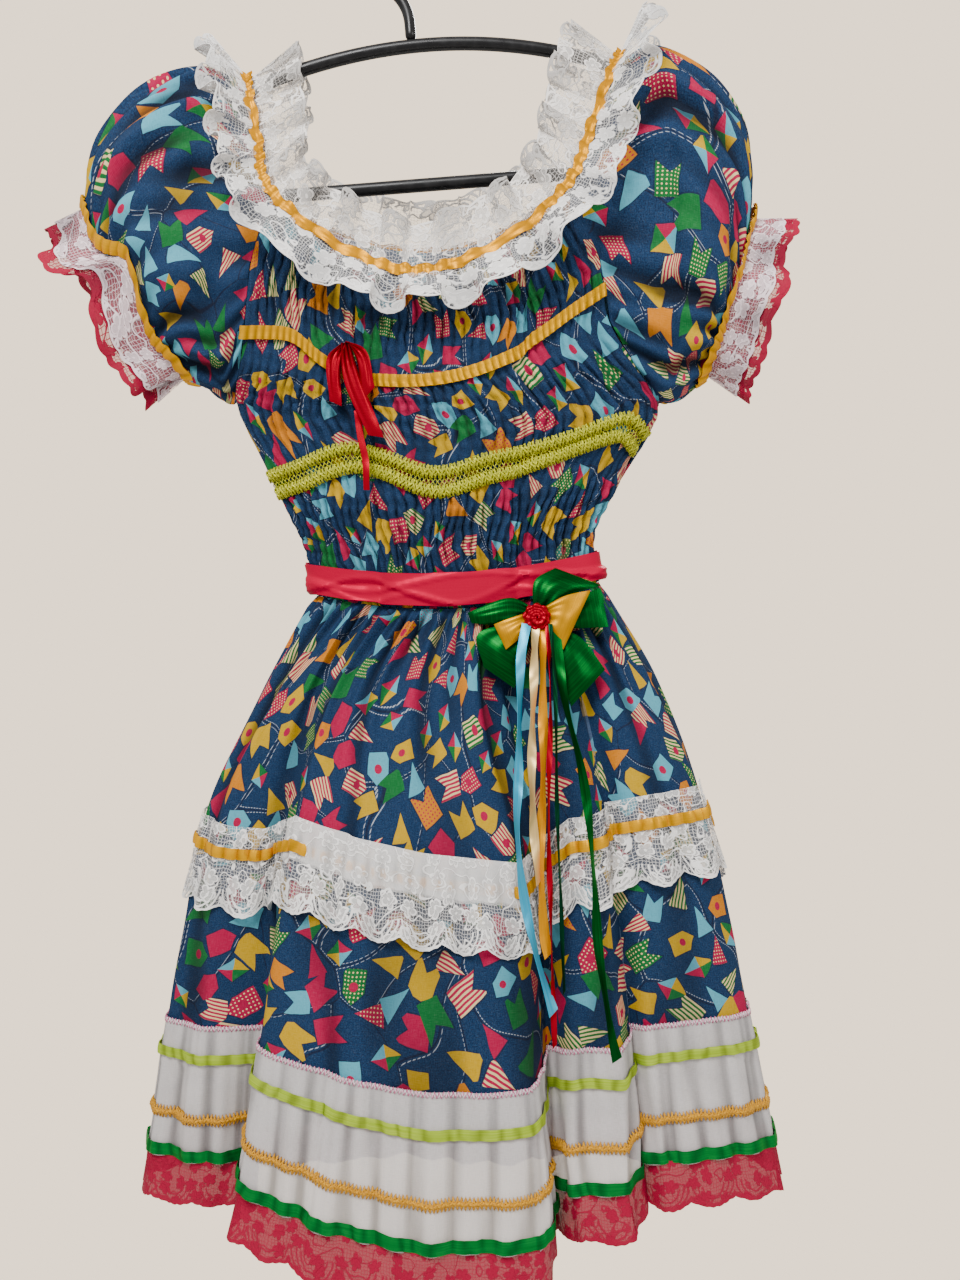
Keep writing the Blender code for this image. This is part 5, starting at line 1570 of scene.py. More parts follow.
@dataclass
class Sleeve:
    """One puff sleeve with the ribbon and the two laces of its cuff."""

    neckline: Neckline
    label: str
    table: tuple
    side: int
    cuff_way: tuple[float, float, float, float]
    cloth: float = 1.2
    around: int = 216
    row_pitch: float = 3.2
    cuff_ribbon: float = 10.5
    red_reach: float = 42.0
    white_reach: float = 29.0
    cuff_waves: int = 5
    cuff_lobes: int = 28
    cuff_swing: float = 5.5
    notch: float = 3.0

    def armhole(self) -> Array:
        """Inner ring, from the armpit up the front seam, over the shoulder and down the back."""
        corner, back_corner = (18, 12) if self.side < 0 else (2, 8)
        first = 0 if self.side < 0 else 3
        front_seam = [FRONT_BODICE[row][first:first + 3] for row in (2, 1, 0)]
        back_seam = [BACK_BODICE[row][first:first + 3] for row in (0, 1)]
        over = (self.neckline.part(back_corner, corner)[::-1] if self.side < 0
                else self.neckline.part(corner, back_corner))
        ring = [np.array(stop, float) for stop in front_seam] + list(over) + [np.array(stop, float) for stop in back_seam]
        ring = np.array(ring + [ring[0]])
        ring = even_path(ring, self.around)[:-1]
        ring[:, 0] += self.side * 0.5
        return ring

    def base(self) -> Surface:
        """Smooth sleeve from the armhole to the cuff."""
        ring = self.armhole()
        angle = 2.0 * math.pi * np.arange(len(ring)) / len(ring)
        rows = [ring]
        for top_x, top_z, bottom_x, bottom_z, front, back in self.table:
            middle = 0.5 * np.array((top_x + bottom_x, 0.0, top_z + bottom_z))
            half = 0.5 * np.array((top_x - bottom_x, 0.0, top_z - bottom_z))
            row = middle + half * -np.cos(angle)[:, None]
            row[:, 1] = -np.where(np.sin(angle) > 0.0, front, back) * np.sin(angle)
            rows.append(row)
        grid = np.array(rows)
        steps = [max(3, round(float(np.linalg.norm(gap, axis=1).mean()) / self.row_pitch)) for gap in np.diff(grid, axis=0)]
        dense = self.notched(smooth_path(grid, steps, tension=0.45))
        if self.side < 0:
            dense = dense[:, ::-1]
        return Surface(dense, np.linspace(0.0, 1.0, len(dense)), True)

    def notched(self, rows: Array) -> Array:
        """The rows with the cuff drawn in at the front, where its frills turn over on themselves."""
        inwards = unit(rows[-7] - rows[-1])
        place = 2.0 * math.pi * np.arange(rows.shape[1]) / rows.shape[1]
        height, depth = rows[-1, :, 2], rows[-1, :, 1]
        miss = np.abs(height - height.min() - 0.48 * np.ptp(height)) + 1000.0 * (depth > depth.mean())
        off = (place - place[np.argmin(miss)] + math.pi) % (2.0 * math.pi) - math.pi
        drawn = np.exp(-(off / 0.24) ** 2) - 0.4 * np.exp(-((np.abs(off) - 0.62) / 0.26) ** 2)
        ramp = np.clip((np.linspace(0.0, 1.0, len(rows)) - 0.62) / 0.38, 0.0, 1.0) ** 1.6
        return rows + self.notch * ramp[:, None, None] * drawn[None, :, None] * inwards[None]

    def puffed(self, base: Surface) -> tuple[Surface, Array]:
        """The sleeve with its gathers at both seams and soft folds between, and its painted shade in the folds."""
        share = base.levels[:, None]
        turn = 2.0 * math.pi * np.arange(base.points.shape[1])[None] / base.points.shape[1]
        seed = 3 + self.side
        drift = np.sin(3.0 * turn + seed) + 0.6 * np.sin(5.0 * turn + 2.0 * seed) + 0.5 * np.sin(4.0 * share + seed)
        cuff = 3.6 * np.sin(26.0 * turn + 1.2 * drift) * np.clip((share - 0.55) / 0.45, 0.0, 1.0) ** 1.3
        cuff *= 1.0 - 0.6 * np.clip((share - 0.86) / 0.05, 0.0, 1.0)
        head = 3.0 * np.sin(24.0 * turn + 1.5 * drift) * np.clip((0.42 - share) / 0.42, 0.0, 1.0) * np.clip(share / 0.05, 0.0, 1.0)
        middle = np.sin(math.pi * share)
        soft = middle * (3.2 * np.sin(8.0 * turn + 2.4 * share + drift) + 3.0 * np.sin(15.0 * turn - 3.0 * share + 2.0 * drift)
                         + 1.4 * np.sin(29.0 * turn + 6.0 * share + drift))
        height = cuff + head + soft
        return base.raised(height - 0.6 * middle), np.clip(-height / 4.0, 0.0, 1.0)

    def cuff_surface(self, edge: Array, normal: Array, reach: float, seed: int,
                     room: float) -> tuple[Surface, Array, Array]:
        """Lace that flares from the sleeve's edge, its places on the flat lace, and its painted shade in the troughs of
        the waves.
        """
        height = (edge[:, 2] - edge[:, 2].min()) / np.ptp(edge[:, 2])
        top = np.array((self.cuff_way[0], 0.0, self.cuff_way[1]))
        bottom = np.array((self.cuff_way[2], 0.0, self.cuff_way[3]))
        way = unit(bottom + height[:, None] * (top - bottom) + 0.25 * normal)
        tangent = unit(np.roll(edge, -1, 0) - np.roll(edge, 1, 0))
        turn = 2.0 * math.pi * np.arange(len(edge)) / len(edge)
        phase = self.cuff_waves * turn + 1.3 * np.sin(3.0 * turn + self.side) + 0.6 * np.sin(5.0 * turn)
        lobes = 0.5 * self.cuff_lobes * turn + 0.4 * np.sin(3.0 * turn)
        rows = []
        shares = np.linspace(0.0, 1.0, 11)
        for share in shares:
            scallop = 1.0 - 0.06 * share * (1.0 - np.abs(np.cos(lobes)))
            curl = 1.0 - 0.10 * share * (0.5 + 0.5 * np.sin(phase))
            out = (reach * share * scallop * curl)[:, None]
            swing = (self.cuff_swing * out[:, 0] / self.red_reach * (1.0 + 0.45 * np.sin(3.0 * turn + seed)))[:, None]
            rows.append(edge + way * out + normal * (room + swing * np.sin(phase)[:, None])
                        - tangent * 0.35 * swing * np.sin(2.0 * phase)[:, None])
        surface = Surface(np.array(rows), shares, True)
        depth = np.clip(0.3 - 0.7 * np.sin(phase), 0.0, 1.0) * np.clip(shares, 0.0, 0.5)[:, None] / 0.5
        return surface, by_lobes(cloth_map(surface, from_foot=True), lobes, 12.0), depth

    def build(self) -> None:
        """Sleeve, ribbon and laces."""
        base = self.base()
        sleeve, fold_shade = self.puffed(base)
        item = wall(f"sleeve_{self.label}_cloth", sleeve, -self.cloth, 0.0, cloth_map(base, 1.05, widest=True),
                    [COTTON, COTTON_BACK], fold_shade)
        publish(item, Slot.COTTON, (f"sleeve_{self.label}",))
        normals = base.normals()
        edge, normal = base.points[-1], normals[-1]
        down = unit(base.points[-1] - base.points[-4])
        turn = 2.0 * math.pi * np.arange(len(edge)) / len(edge)
        shares = np.linspace(-1.0, 1.0, 7)
        wave = np.sin(self.cuff_waves * turn + 1.3 * np.sin(3.0 * turn + self.side) + 0.6 * np.sin(5.0 * turn))
        pucker = np.sin(38.0 * turn + 2.2 * np.sin(7.0 * turn))
        rows = []
        for share in shares:
            centre = edge - down * (0.5 * self.cuff_ribbon + 1.2 + 1.3 * wave)[:, None]
            height = 3.4 + 0.9 * (1.0 - share * share) + 1.2 * wave + 1.0 * pucker * (0.4 + 0.6 * abs(share))
            rows.append(centre + down * 0.5 * self.cuff_ribbon * share + normal * height[:, None])
        band = Surface(np.array(rows), shares, True)
        # Painted shade between the cuff ribbon's puckers.
        fold_shade = np.clip(-0.8 * pucker - 0.1, 0.0, 1.0)[None] * np.ones((len(shares), 1))
        item = wall(f"cuff_gold_ribbon_{self.label}", band, 0.0, 0.5, cloth_map(band, 1.3), [GOLD], fold_shade)
        publish(item, Slot.GOLD, (f"cuff_ribbon_{self.label}",))
        red, cloth, fold_shade = self.cuff_surface(edge, normal, self.red_reach, 2, -0.8)
        item = wall(f"cuff_red_frill_{self.label}", red, -0.4, 0.0, cloth, [CUFF_RED_LACE], fold_shade)
        publish(item, Slot.RED_LACE, (f"cuff_red_lace_{self.label}",))
        white, cloth, fold_shade = self.cuff_surface(edge, normal, self.white_reach, 2, 1.0)
        item = wall(f"cuff_white_frill_{self.label}", white, 0.0, 0.4, cloth, [CUFF_WHITE_LACE], fold_shade)
        publish(item, Slot.WHITE_LACE, (f"cuff_lace_{self.label}",))


@dataclass
class SkirtFace:
    """Front or back of the skirt with its lace, flounce and all the trims on them."""

    face: str
    folds: tuple
    grid_columns: int
    fineness: int
    gathers: int
    seed: int
    cuts: dict[str, tuple[float, float]]
    cloth: float = 1.2
    thin: float = 0.5
    print_foot: float = 0.757
    overlap: float = 0.705
    covered: tuple[float, float] = (0.0, 0.0)
    lace_line: tuple[tuple[float, float], ...] = ((0.0, 0.0), (40.0, 0.0))
    foot_line: tuple[tuple[float, float], ...] = ((0.0, 0.0), (40.0, 0.0))
    lace: Lace = WHITE_LACE

    def levels_between(self, rows: list[Array], shares: Array) -> Array:
        """Rows at shares of the drop, smooth through the fold levels."""
        knots = np.array(FOLD_LEVELS)
        slopes = []
        for index in range(len(knots)):
            low, high = max(index - 1, 0), min(index + 1, len(knots) - 1)
            slopes.append((rows[high] - rows[low]) / (knots[high] - knots[low]))
        result = []
        for share in shares:
            index = int(np.clip(np.searchsorted(knots, share) - 1, 0, len(knots) - 2))
            span = knots[index + 1] - knots[index]
            part = (share - knots[index]) / span
            square, cube = part ** 2, part ** 3
            result.append((2 * cube - 3 * square + 1) * rows[index] + (cube - 2 * square + part) * span * slopes[index]
                          + (3 * square - 2 * cube) * rows[index + 1] + (cube - square) * span * slopes[index + 1])
        return np.array(result)

    def surface(self, waist: Array) -> tuple[Surface, Array]:
        """Whole face from the waist seam to the hem lace's edge, and its painted shade in the gathers."""
        columns = self.grid_columns * self.fineness
        shares = np.concatenate([np.linspace(0.0, 0.3, 41), np.linspace(0.3, 1.0, 76)[1:]])
        stops = [int(row[0]) for row in self.folds]
        counts = [(after - before) * self.fineness for before, after in zip(stops, stops[1:])]
        hem_z = np.interp(np.arange(columns + 1) / self.fineness, stops, [row[7] for row in self.folds])
        top = even_path(waist, columns)
        top[:, 2] -= 0.5
        levels = [top[:, :2]]
        for first in (1, 3, 5):
            line = np.array([(row[first], row[first + 1]) for row in self.folds], float)
            levels.append(smooth_path(line, counts, tension=0.3))
        flat = self.levels_between(levels, shares)
        height = top[:, 2][None] + shares[:, None] * (hem_z - top[:, 2])[None]
        sag = np.interp(np.arange(columns + 1) / self.fineness, *np.array(self.foot_line).T)
        height -= sag[None] * np.clip((shares - 0.58) / 0.16, 0.0, 1.0)[:, None]
        base = Surface(np.concatenate([flat, height[..., None]], 2), shares)
        gathers = self.gathered(base, shares[:, None])
        return base.raised(gathers), np.clip(-gathers / 4.0, 0.0, 1.0)

    def gathered(self, base: Surface, share: Array) -> Array:
        """Height of the gathers, which merge into wider folds down the skirt."""
        across = np.linspace(0.0, 1.0, base.points.shape[1])[None]
        u, v = base.places()
        drift = wander(u, v * 0.25, self.seed, 90.0)
        uneven = 0.75 + 0.35 * wander(u, v * 0.0, self.seed + 1, 35.0)
        fine = 3.3 * np.sin(2.0 * math.pi * self.gathers * across + 1.6 * drift) * np.exp(-((share / 0.11) ** 1.3))
        half = 3.0 * np.sin(math.pi * self.gathers * across + 1.2 * drift + 1.0) * np.exp(-((share / 0.34) ** 2.0))
        wide = 2.8 * np.sin(2.0 * math.pi * self.gathers / 4.6 * across + 2.0 * drift) * (0.35 + 0.65 * share)
        soft = 0.7 * wander(u, v, self.seed + 2, 60.0)
        start = np.clip(share / 0.02, 0.0, 1.0)
        edge = np.clip(np.minimum(across, 1.0 - across) / 0.02, 0.0, 1.0)
        return (fine * uneven + half * uneven + wide + soft) * start * edge

    def publish_strip(self, item: bpy.types.Object, slot: Slot, key: str) -> None:
        """Publish a trim of this face."""
        publish(item, slot, (f"{key}_{self.face}",))

    def build_lace(self, skirt: Surface) -> None:
        """White lace with its scalloped edge, and the gold ribbon along it."""
        shares = np.linspace(0.36, 0.50, 19)
        column = np.arange(skirt.points.shape[1]) / self.fineness
        slope = np.interp(column, *np.array(self.lace_line).T)
        strip = Surface(np.array([skirt.at_levels(share + slope) for share in shares]), shares)
        u, _ = strip.places()
        part = np.linspace(0.0, 1.0, len(shares))[:, None]
        phase = math.pi * u / 31.0 + 0.5 * np.sin(u / 50.0)
        scallops = np.abs(np.sin(phase))
        picot = 0.8 * np.abs(np.sin(math.pi * u / 6.0))
        out = unit(np.diff(strip.points, axis=0)[-1])
        strip.points += (out * ((7.5 * scallops + picot)[-1] - 5.0)[:, None])[None] * np.clip((part - 0.45) / 0.55, 0.0, 1.0)[..., None]
        gather = np.sin(2.0 * math.pi * u / 11.0 + 1.5 * wander(u, u * 0.0, self.seed + 5, 60.0)) * np.exp(-((part - 0.32) / 0.16) ** 2)
        wave = np.sin(2.0 * math.pi * u / 34.0 + 1.2 * wander(u, u * 0.0, self.seed + 6, 90.0)) * part ** 1.5
        frill = 1.4 * gather + 3.2 * wave
        edge = np.clip(np.minimum(u, u.max() - u) / 12.0, 0.0, 1.0)
        lift = np.interp(part, (0.0, 0.32, 1.0), (2.8, 2.5, 4.6)) + frill * edge
        lace = strip.raised(lift)
        cloth = by_lobes(cloth_map(lace, from_foot=True), phase[0], 38.0)
        # Painted shade in the troughs of the gathers and waves.
        item = wall(f"skirt_lace_frill_{self.face}", lace, 0.0, self.thin, cloth, [self.lace],
                    np.clip(-0.8 * wave - 0.7 * gather, 0.0, 1.0))
        self.publish_strip(item, Slot.WHITE_LACE, "skirt_lace")
        line = lace.rows(np.linspace(0.396, 0.414, 6))
        u, v = line.places()
        across = np.linspace(-1.0, 1.0, 6)[:, None]
        x = line.points[..., 0]
        under = np.clip(np.minimum(x - self.covered[0], self.covered[1] - x) / 6.0, 0.0, 1.0)
        pucker = np.sin(2.0 * math.pi * u / 11.0 + 2.0 * wander(u, v, 9, 40.0))
        band = line.raised(1.2 + 0.5 * (1.0 - across ** 2) + 0.45 * pucker - 2.3 * under)
        # Painted shade between the ribbon's puckers.
        item = wall(f"skirt_gold_ribbon_{self.face}", band, 0.0, 0.5, cloth_map(band), [GOLD], np.clip(-0.7 * pucker, 0.0, 1.0))
        self.publish_strip(item, Slot.GOLD, "skirt_ribbon")

    def ribbon(self, name: str, key: str, ground: Surface, low: float, high: float, finish: Finish, slot: Slot) -> None:
        """Satin ribbon sewn on the flounce."""
        line = ground.rows(np.linspace(low, high, 6))
        u, v = line.places()
        across = np.linspace(-1.0, 1.0, 6)[:, None]
        pucker = np.sin(2.0 * math.pi * u / 13.0 + 2.5 * wander(u, v, 9, 50.0))
        band = line.raised(2.1 + 0.35 * (1.0 - across ** 2) + 0.5 * pucker)
        # Painted shade between the ribbon's puckers.
        item = wall(f"{key}_satin_{self.face}", band, 0.0, 0.5, cloth_map(band), [finish], np.clip(-0.8 * pucker, 0.0, 1.0))
        self.publish_strip(item, slot, key)

    def level_line(self, ground: Surface, level: float, lift: float) -> tuple[Array, Array]:
        """Points along one level just off the cloth, and their outward directions."""
        normals = Surface(ground.normals(), ground.levels)
        ways = unit(normals.rows(np.array([level])).points[0])
        return ground.rows(np.array([level])).points[0][1:-1] + ways[1:-1] * lift, ways[1:-1]

    def build_flounce(self, skirt: Surface) -> None:
        """Organza flounce, its ribbons and gimp, the overlocked edge and the red hem lace."""
        shares = np.linspace(self.overlap, 0.93, 30)
        strip = skirt.rows(shares)
        u, v = strip.places()
        part = np.linspace(0.0, 1.0, len(shares))[:, None]
        pleats = 2.4 * np.sin(2.0 * math.pi * u / 27.0 + 1.8 * wander(u, v * 0.3, self.seed + 7, 80.0))
        pleats += 1.1 * np.sin(2.0 * math.pi * u / 11.0 + 2.2 * wander(u, v * 0.2, self.seed + 10, 60.0)) * (1.0 - 0.6 * part)
        edge = np.clip(np.minimum(u, u.max() - u) / 15.0, 0.0, 1.0)
        waves = (0.9 * pleats + 0.5 * wander(u, v, self.seed + 8, 45.0)) * edge * (0.45 + 0.55 * part)
        ground = strip.raised(np.where(shares[:, None] < 0.775, np.maximum(1.0 + waves, 0.9), 1.0 + waves))
        # Painted shade in the troughs of the pleats.
        item = wall(f"flounce_organza_{self.face}", ground, 0.0, self.thin, cloth_map(ground, 1.0, widest=True), [ORGANZA],
                    np.clip(-0.45 * pleats * edge * (0.45 + 0.55 * part), 0.0, 1.0))
        self.publish_strip(item, Slot.ORGANZA, "flounce")
        self.ribbon("lime", "lime_ribbon", ground, 0.750, 0.766, LIME, Slot.LIME)
        self.ribbon("emerald", "emerald_ribbon", ground, 0.908, 0.927, EMERALD, Slot.EMERALD)
        line = self.level_line(ground, 0.857, 1.9)
        cords = [WavingCord().lay("cord", [line], GIMP, Wave_Length=6.0, Wave_Height=height, Lift=0.9, Phase=phase, Steps=8,
                                  Cord_Radius=radius, Sides=4)
                 for height, phase, radius in ((4.3, 0.0, 0.8), (4.3, math.pi, 0.8), (1.2, 1.0, 1.2))]
        publish(merge(f"gold_gimp_{self.face}", cords), Slot.GIMP, (f"gold_braid_{self.face}",))
        top = self.level_line(ground, self.overlap + 0.003, 0.9)
        stitches = [WavingCord().lay("cord", [top], finish, Wave_Length=length, Wave_Height=height, Lift=0.2, Phase=phase,
                                     Steps=4, Cord_Radius=0.55, Sides=4)
                    for finish, length, height, phase in ((PINK_THREAD, 3.4, 2.2, 0.0), (WHITE_THREAD, 2.6, 1.7, 1.4))]
        publish(merge(f"overlock_stitches_{self.face}", stitches), Slot.ORGANZA)
        self.build_hem(skirt)

    def build_hem(self, skirt: Surface) -> None:
        """Red lace with small scallops below the emerald ribbon."""
        shares = np.linspace(0.924, 1.0, 12)
        strip = skirt.rows(shares)
        u, v = strip.places()
        part = np.linspace(0.0, 1.0, len(shares))[:, None]
        phase = math.pi * u / 36.0
        scallop = 4.0 * np.abs(np.sin(phase)) + 0.9 * np.abs(np.sin(math.pi * u / 6.0)) - 3.0
        out = unit(np.diff(strip.points, axis=0)[-1])
        strip.points += (out * scallop[-1][:, None])[None] * np.clip((part - 0.4) / 0.6, 0.0, 1.0)[..., None]
        edge = np.clip(np.minimum(u, u.max() - u) / 12.0, 0.0, 1.0)
        wave = 1.8 * np.sin(2.0 * math.pi * u / 31.0 + 1.5 * wander(u, v * 0.0, self.seed + 9, 80.0)) * part * edge
        lace = strip.raised(0.6 + wave)
        cloth = by_lobes(cloth_map(lace, from_foot=True), phase[0], 38.0)
        item = wall(f"hem_red_lace_{self.face}", lace, 0.0, self.thin, cloth, [RED_LACE])
        self.publish_strip(item, Slot.RED_LACE, "hem_lace")

    def build(self, waist: Array) -> None:
        """Skirt, lace, flounce and trims."""
        skirt, fold_shade = self.surface(waist)
        shown = skirt.rows(skirt.levels[skirt.levels <= self.print_foot])
        item = wall(f"skirt_{self.face}_cloth", shown, -self.cloth, 0.0, cloth_map(shown, 1.0, widest=True),
                    [COTTON, COTTON_BACK], fold_shade[:len(shown.levels)])
        self.publish_strip(item, Slot.COTTON, "skirt")
        self.build_lace(skirt)
        self.build_flounce(skirt)


@dataclass
class Bows:
    """Green and gold bow on the belt with its rosette, and the small red bow at the neck's front."""

    pivot: float = -530.0
    lean: float = 0.247
    green_plane: float = -30.2
    gold_plane: float = -38.0
    chest_plane: float = -45.1
    ribbon: float = 0.5
    rosette: tuple[float, float] = (99.0, -553.0)
    rosette_radius: float = 10.6

    def lobe(self, row: tuple, plane: float, lean: float, order: float) -> tuple[Surface, Array]:
        """Front and back of one ribbon loop, from its pinched root to its open fold.

        Args:
            row: Six points x, z and the bulge.
            plane: y of the bow's middle at the pivot height.
            lean: How far the bow leans forward as it falls.
            order: Extra distance forward, so that lobes don't cross.

        Returns:
            One surface that goes out on the front and comes back behind, and its painted shade, darkest at the pinched
            root and in the creases.
        """
        across, out = 17, 25
        edges = []
        for side in (0, 1):
            stops = np.array([row[side], row[side + 2], row[side + 4]], float)
            edges.append(even_path(smooth_path(stops, 12), out))
        t = np.linspace(0.0, 1.0, across)[None, :, None]
        flat = edges[0][:, None] * (1.0 - t) + edges[1][:, None] * t
        share = np.linspace(0.0, 1.0, out + 1)[:, None]
        t = t[..., 0]
        bulge = row[6]
        belly = np.sin(math.pi * np.clip(share, 0.0, 1.0)) ** 0.7
        crown = np.sin(math.pi * t) ** 0.8
        crease = 1.4 * np.sin(5.0 * math.pi * t + 1.0) * (1.0 - share) ** 1.3 + 0.5 * np.sin(3.0 * math.pi * t + 3.0 * share)
        tip = np.exp(-((1.0 - share) / 0.10) ** 2)
        forward = bulge * belly * (0.45 + 0.55 * crown) + crease * (1.0 - tip)
        behind = 0.6 + 0.5 * crease * (1.0 - tip) - 0.25 * bulge * belly
        sheets = []
        for height in (order + forward, order * 0.3 - np.maximum(behind, 0.2)):
            y = plane + lean * (flat[..., 1] - self.pivot) - height
            sheets.append(np.stack([flat[..., 0], y, flat[..., 1]], -1))
        path = np.concatenate([sheets[0], sheets[1][::-1][1:]])
        # Painted shade: dark at the pinched root, and in the troughs of the creases towards the root.
        low = 0.5 - 0.5 * np.sin(5.0 * math.pi * t + 1.0)
        deep = np.clip(0.9 * np.exp(-share / 0.10) + 0.9 * low * (1.0 - share) ** 1.2, 0.0, 1.0)
        return Surface(path, np.linspace(0.0, 1.0, len(path))), np.concatenate([deep, deep[::-1][1:]])

    def pack(self, name: str, rows: tuple, plane: float, lean: float, finish: Finish, orders: tuple[float, ...]) -> bpy.types.Object:
        """All lobes of a bow as one piece."""
        items = []
        for index, (row, order) in enumerate(zip(rows, orders)):
            surface, fold_shade = self.lobe(row, plane, lean, order)
            ahead = surface.normals()[6].mean(0)[1]
            low, high = (0.0, self.ribbon) if ahead < 0.0 else (-self.ribbon, 0.0)
            items.append(wall(f"{name}_{index}", surface, low, high, cloth_map(surface), [finish], fold_shade))
        return self.joined(name, items)

    @staticmethod
    def joined(name: str, items: list[bpy.types.Object]) -> bpy.types.Object:
        """Walls joined into one object with their cloth maps kept."""
        with bpy.context.temp_override(active_object=items[0], selected_editable_objects=items, selected_objects=items):
            bpy.ops.object.join()
        items[0].name = name
        items[0].data.name = name
        return items[0]

    def build_tail(self) -> None:
        """Narrow tail of the chest bow."""
        path = even_path(smooth_path([(x, 0.0, z) for x, z in CHEST_TAIL], 10), 40)
        share = np.linspace(0.0, 1.0, len(path))
        path[:, 1] = self.chest_plane - 0.6 + 1.0 * share - 0.8 * np.sin(9.0 * share)
        across = np.linspace(-2.6, 2.6, 5)[None, :, None]
        side = unit(np.array((1.0, 0.0, 0.0)) + np.sin(5.0 * share)[:, None] * np.array((0.0, 0.5, 0.1)))
        surface = Surface(path[:, None] + side[:, None] * across, share)
        item = wall("red_ribbon_tail", surface, 0.0, self.ribbon, cloth_map(surface)[..., ::-1], [RED])
        publish(item, Slot.RED, ("chest_bow_tail",))

    def build_rosette(self) -> None:
        """Tightly gathered red rosebud."""
        x, z = self.rosette
        turn = np.linspace(0.0, 2.0 * math.pi, 144, endpoint=False)
        shares = np.linspace(0.04, 1.0, 34)
        front = self.gold_plane - 16.6
        rows = []
        for share in shares:
            spiral = 0.5 + 0.5 * np.sin(2.0 * math.pi * 3.2 * share - turn)
            petal = np.cos(9.0 * turn + 5.0 * share)
            radius = self.rosette_radius * np.sin(0.5 * math.pi * share) * (1.0 + 0.06 * petal * share)
            depth = 8.0 * math.cos(0.5 * math.pi * share) + 1.6 * spiral * (1.0 - 0.5 * share) + 0.7 * petal * share
            rows.append(np.stack([x + radius * np.cos(turn), front + 6.6 - depth, z + radius * np.sin(turn)], -1))
        surface = Surface(np.array(rows), shares, True)
        if surface.normals()[10].mean(0)[1] > 0.0:
            surface.points = surface.points[:, ::-1]
        item = wall("red_rosette", surface, -0.5, 0.0, cloth_map(surface), [RED])
        publish(item, Slot.RED, ("rosette",))

    def build(self) -> None:
        """All the bows."""
        green = self.pack("green_ribbon_bow", GREEN_LOBES, self.green_plane, self.lean, GREEN, (0.6, 2.4, 0.0, 1.2, 1.8))
        publish(green, Slot.GREEN, ("green_bow",))
        gold = self.pack("gold_ribbon_bow", GOLD_LOBES, self.gold_plane, self.lean, BOW_GOLD, (1.6, 1.2))
        publish(gold, Slot.GOLD, ("gold_bow",))
        chest = self.pack("red_ribbon_bow", CHEST_LOBES, self.chest_plane, 0.0, RED, (1.6, 0.6, 2.8))
        publish(chest, Slot.RED, ("chest_bow",))
        self.build_tail()
        self.build_rosette()


@dataclass
class Streamers:
    """Ribbons that hang from under the rosette."""

    thickness: float = 0.4
    layer: float = 2.0
    # Name, node, slot, finish, width, layer, turns, then the points x, z down its length
    table: ClassVar[tuple] = (
        ("streamer_gold", Slot.GOLD, STREAMER_GOLD, 7.0, 0, 0.9, ((104, -558), (103, -600), (102, -672), (100, -722), (102, -778), (105, -796))),
        ("streamer_cream", Slot.CREAM, CREAM, 6.5, 1, 0.9, ((98, -558), (96, -600), (94, -650), (95, -705), (98, -745))),
        ("streamer_blue", Slot.BLUE, BLUE, 7.0, 2, 1.0,
         ((91, -558), (86, -590), (84, -672), (83, -708), (88, -757), (97, -798), (108, -834))),
        ("streamer_red", Slot.RED, RED, 4.0, 1, 1.2, ((107, -558), (108, -620), (106, -700), (107, -791), (109, -857))),
        ("streamer_dark", Slot.DARK_GREEN, DARK_GREEN, 3.0, 2, 1.0,
         ((109, -558), (112, -620), (112, -700), (114, -760), (116, -820))),
        ("streamer_green", Slot.GREEN, GREEN, 7.0, 0, 1.0,
         ((113, -560), (119, -614), (132, -673), (138, -741), (141, -791), (149, -847), (153, -867))),
    )

    def strip(self, places: tuple, width: float, layer: int, turns: float, seed: int) -> Surface:
        """One hanging ribbon with a slow twist."""
        path = even_path(smooth_path([(x, 0.0, z) for x, z in places], 12), 110)
        heights, depths = [row[0] for row in HANG][::-1], [row[1] for row in HANG][::-1]
        path[:, 1] = np.interp(path[:, 2], heights, depths) - layer * self.layer - 0.6
        share = np.linspace(0.0, 1.0, len(path))
        angle = 1.15 * turns * np.sin(2.0 * math.pi * (share * 1.6 + 0.17 * seed)) * np.clip(share / 0.1, 0.0, 1.0)
        path[:, 1] -= 0.6 * np.abs(np.sin(angle)) * width * 0.5
        tangent = unit(np.gradient(path, axis=0))
        side = unit(np.cross(tangent, np.array((0.0, 1.0, 0.0))))
        side *= np.sign(side[:, :1])
        front = unit(np.cross(tangent, side))
        turned = side * np.cos(angle)[:, None] + front * np.sin(angle)[:, None]
        across = np.linspace(-0.5, 0.5, 7)[None, :, None]
        curl = 0.35 * (1.0 - 4.0 * across ** 2)
        points = path[:, None] + turned[:, None] * width * across - np.array((0.0, 1.0, 0.0)) * curl
        slant = np.zeros(points.shape)
        slant[..., 2] = (share[:, None] ** 12) * 4.0 * across[..., 0]
        return Surface(points + slant, share)

    def build(self) -> None:
        """All the streamers."""
        for seed, (name, slot, finish, width, layer, turns, places) in enumerate(self.table):
            surface = self.strip(places, width, layer, turns, seed)
            cloth = cloth_map(surface)[..., ::-1]
            item = wall(f"{name}_ribbon", surface, 0.0, self.thickness, cloth, [finish])
            publish(item, slot, (name,))


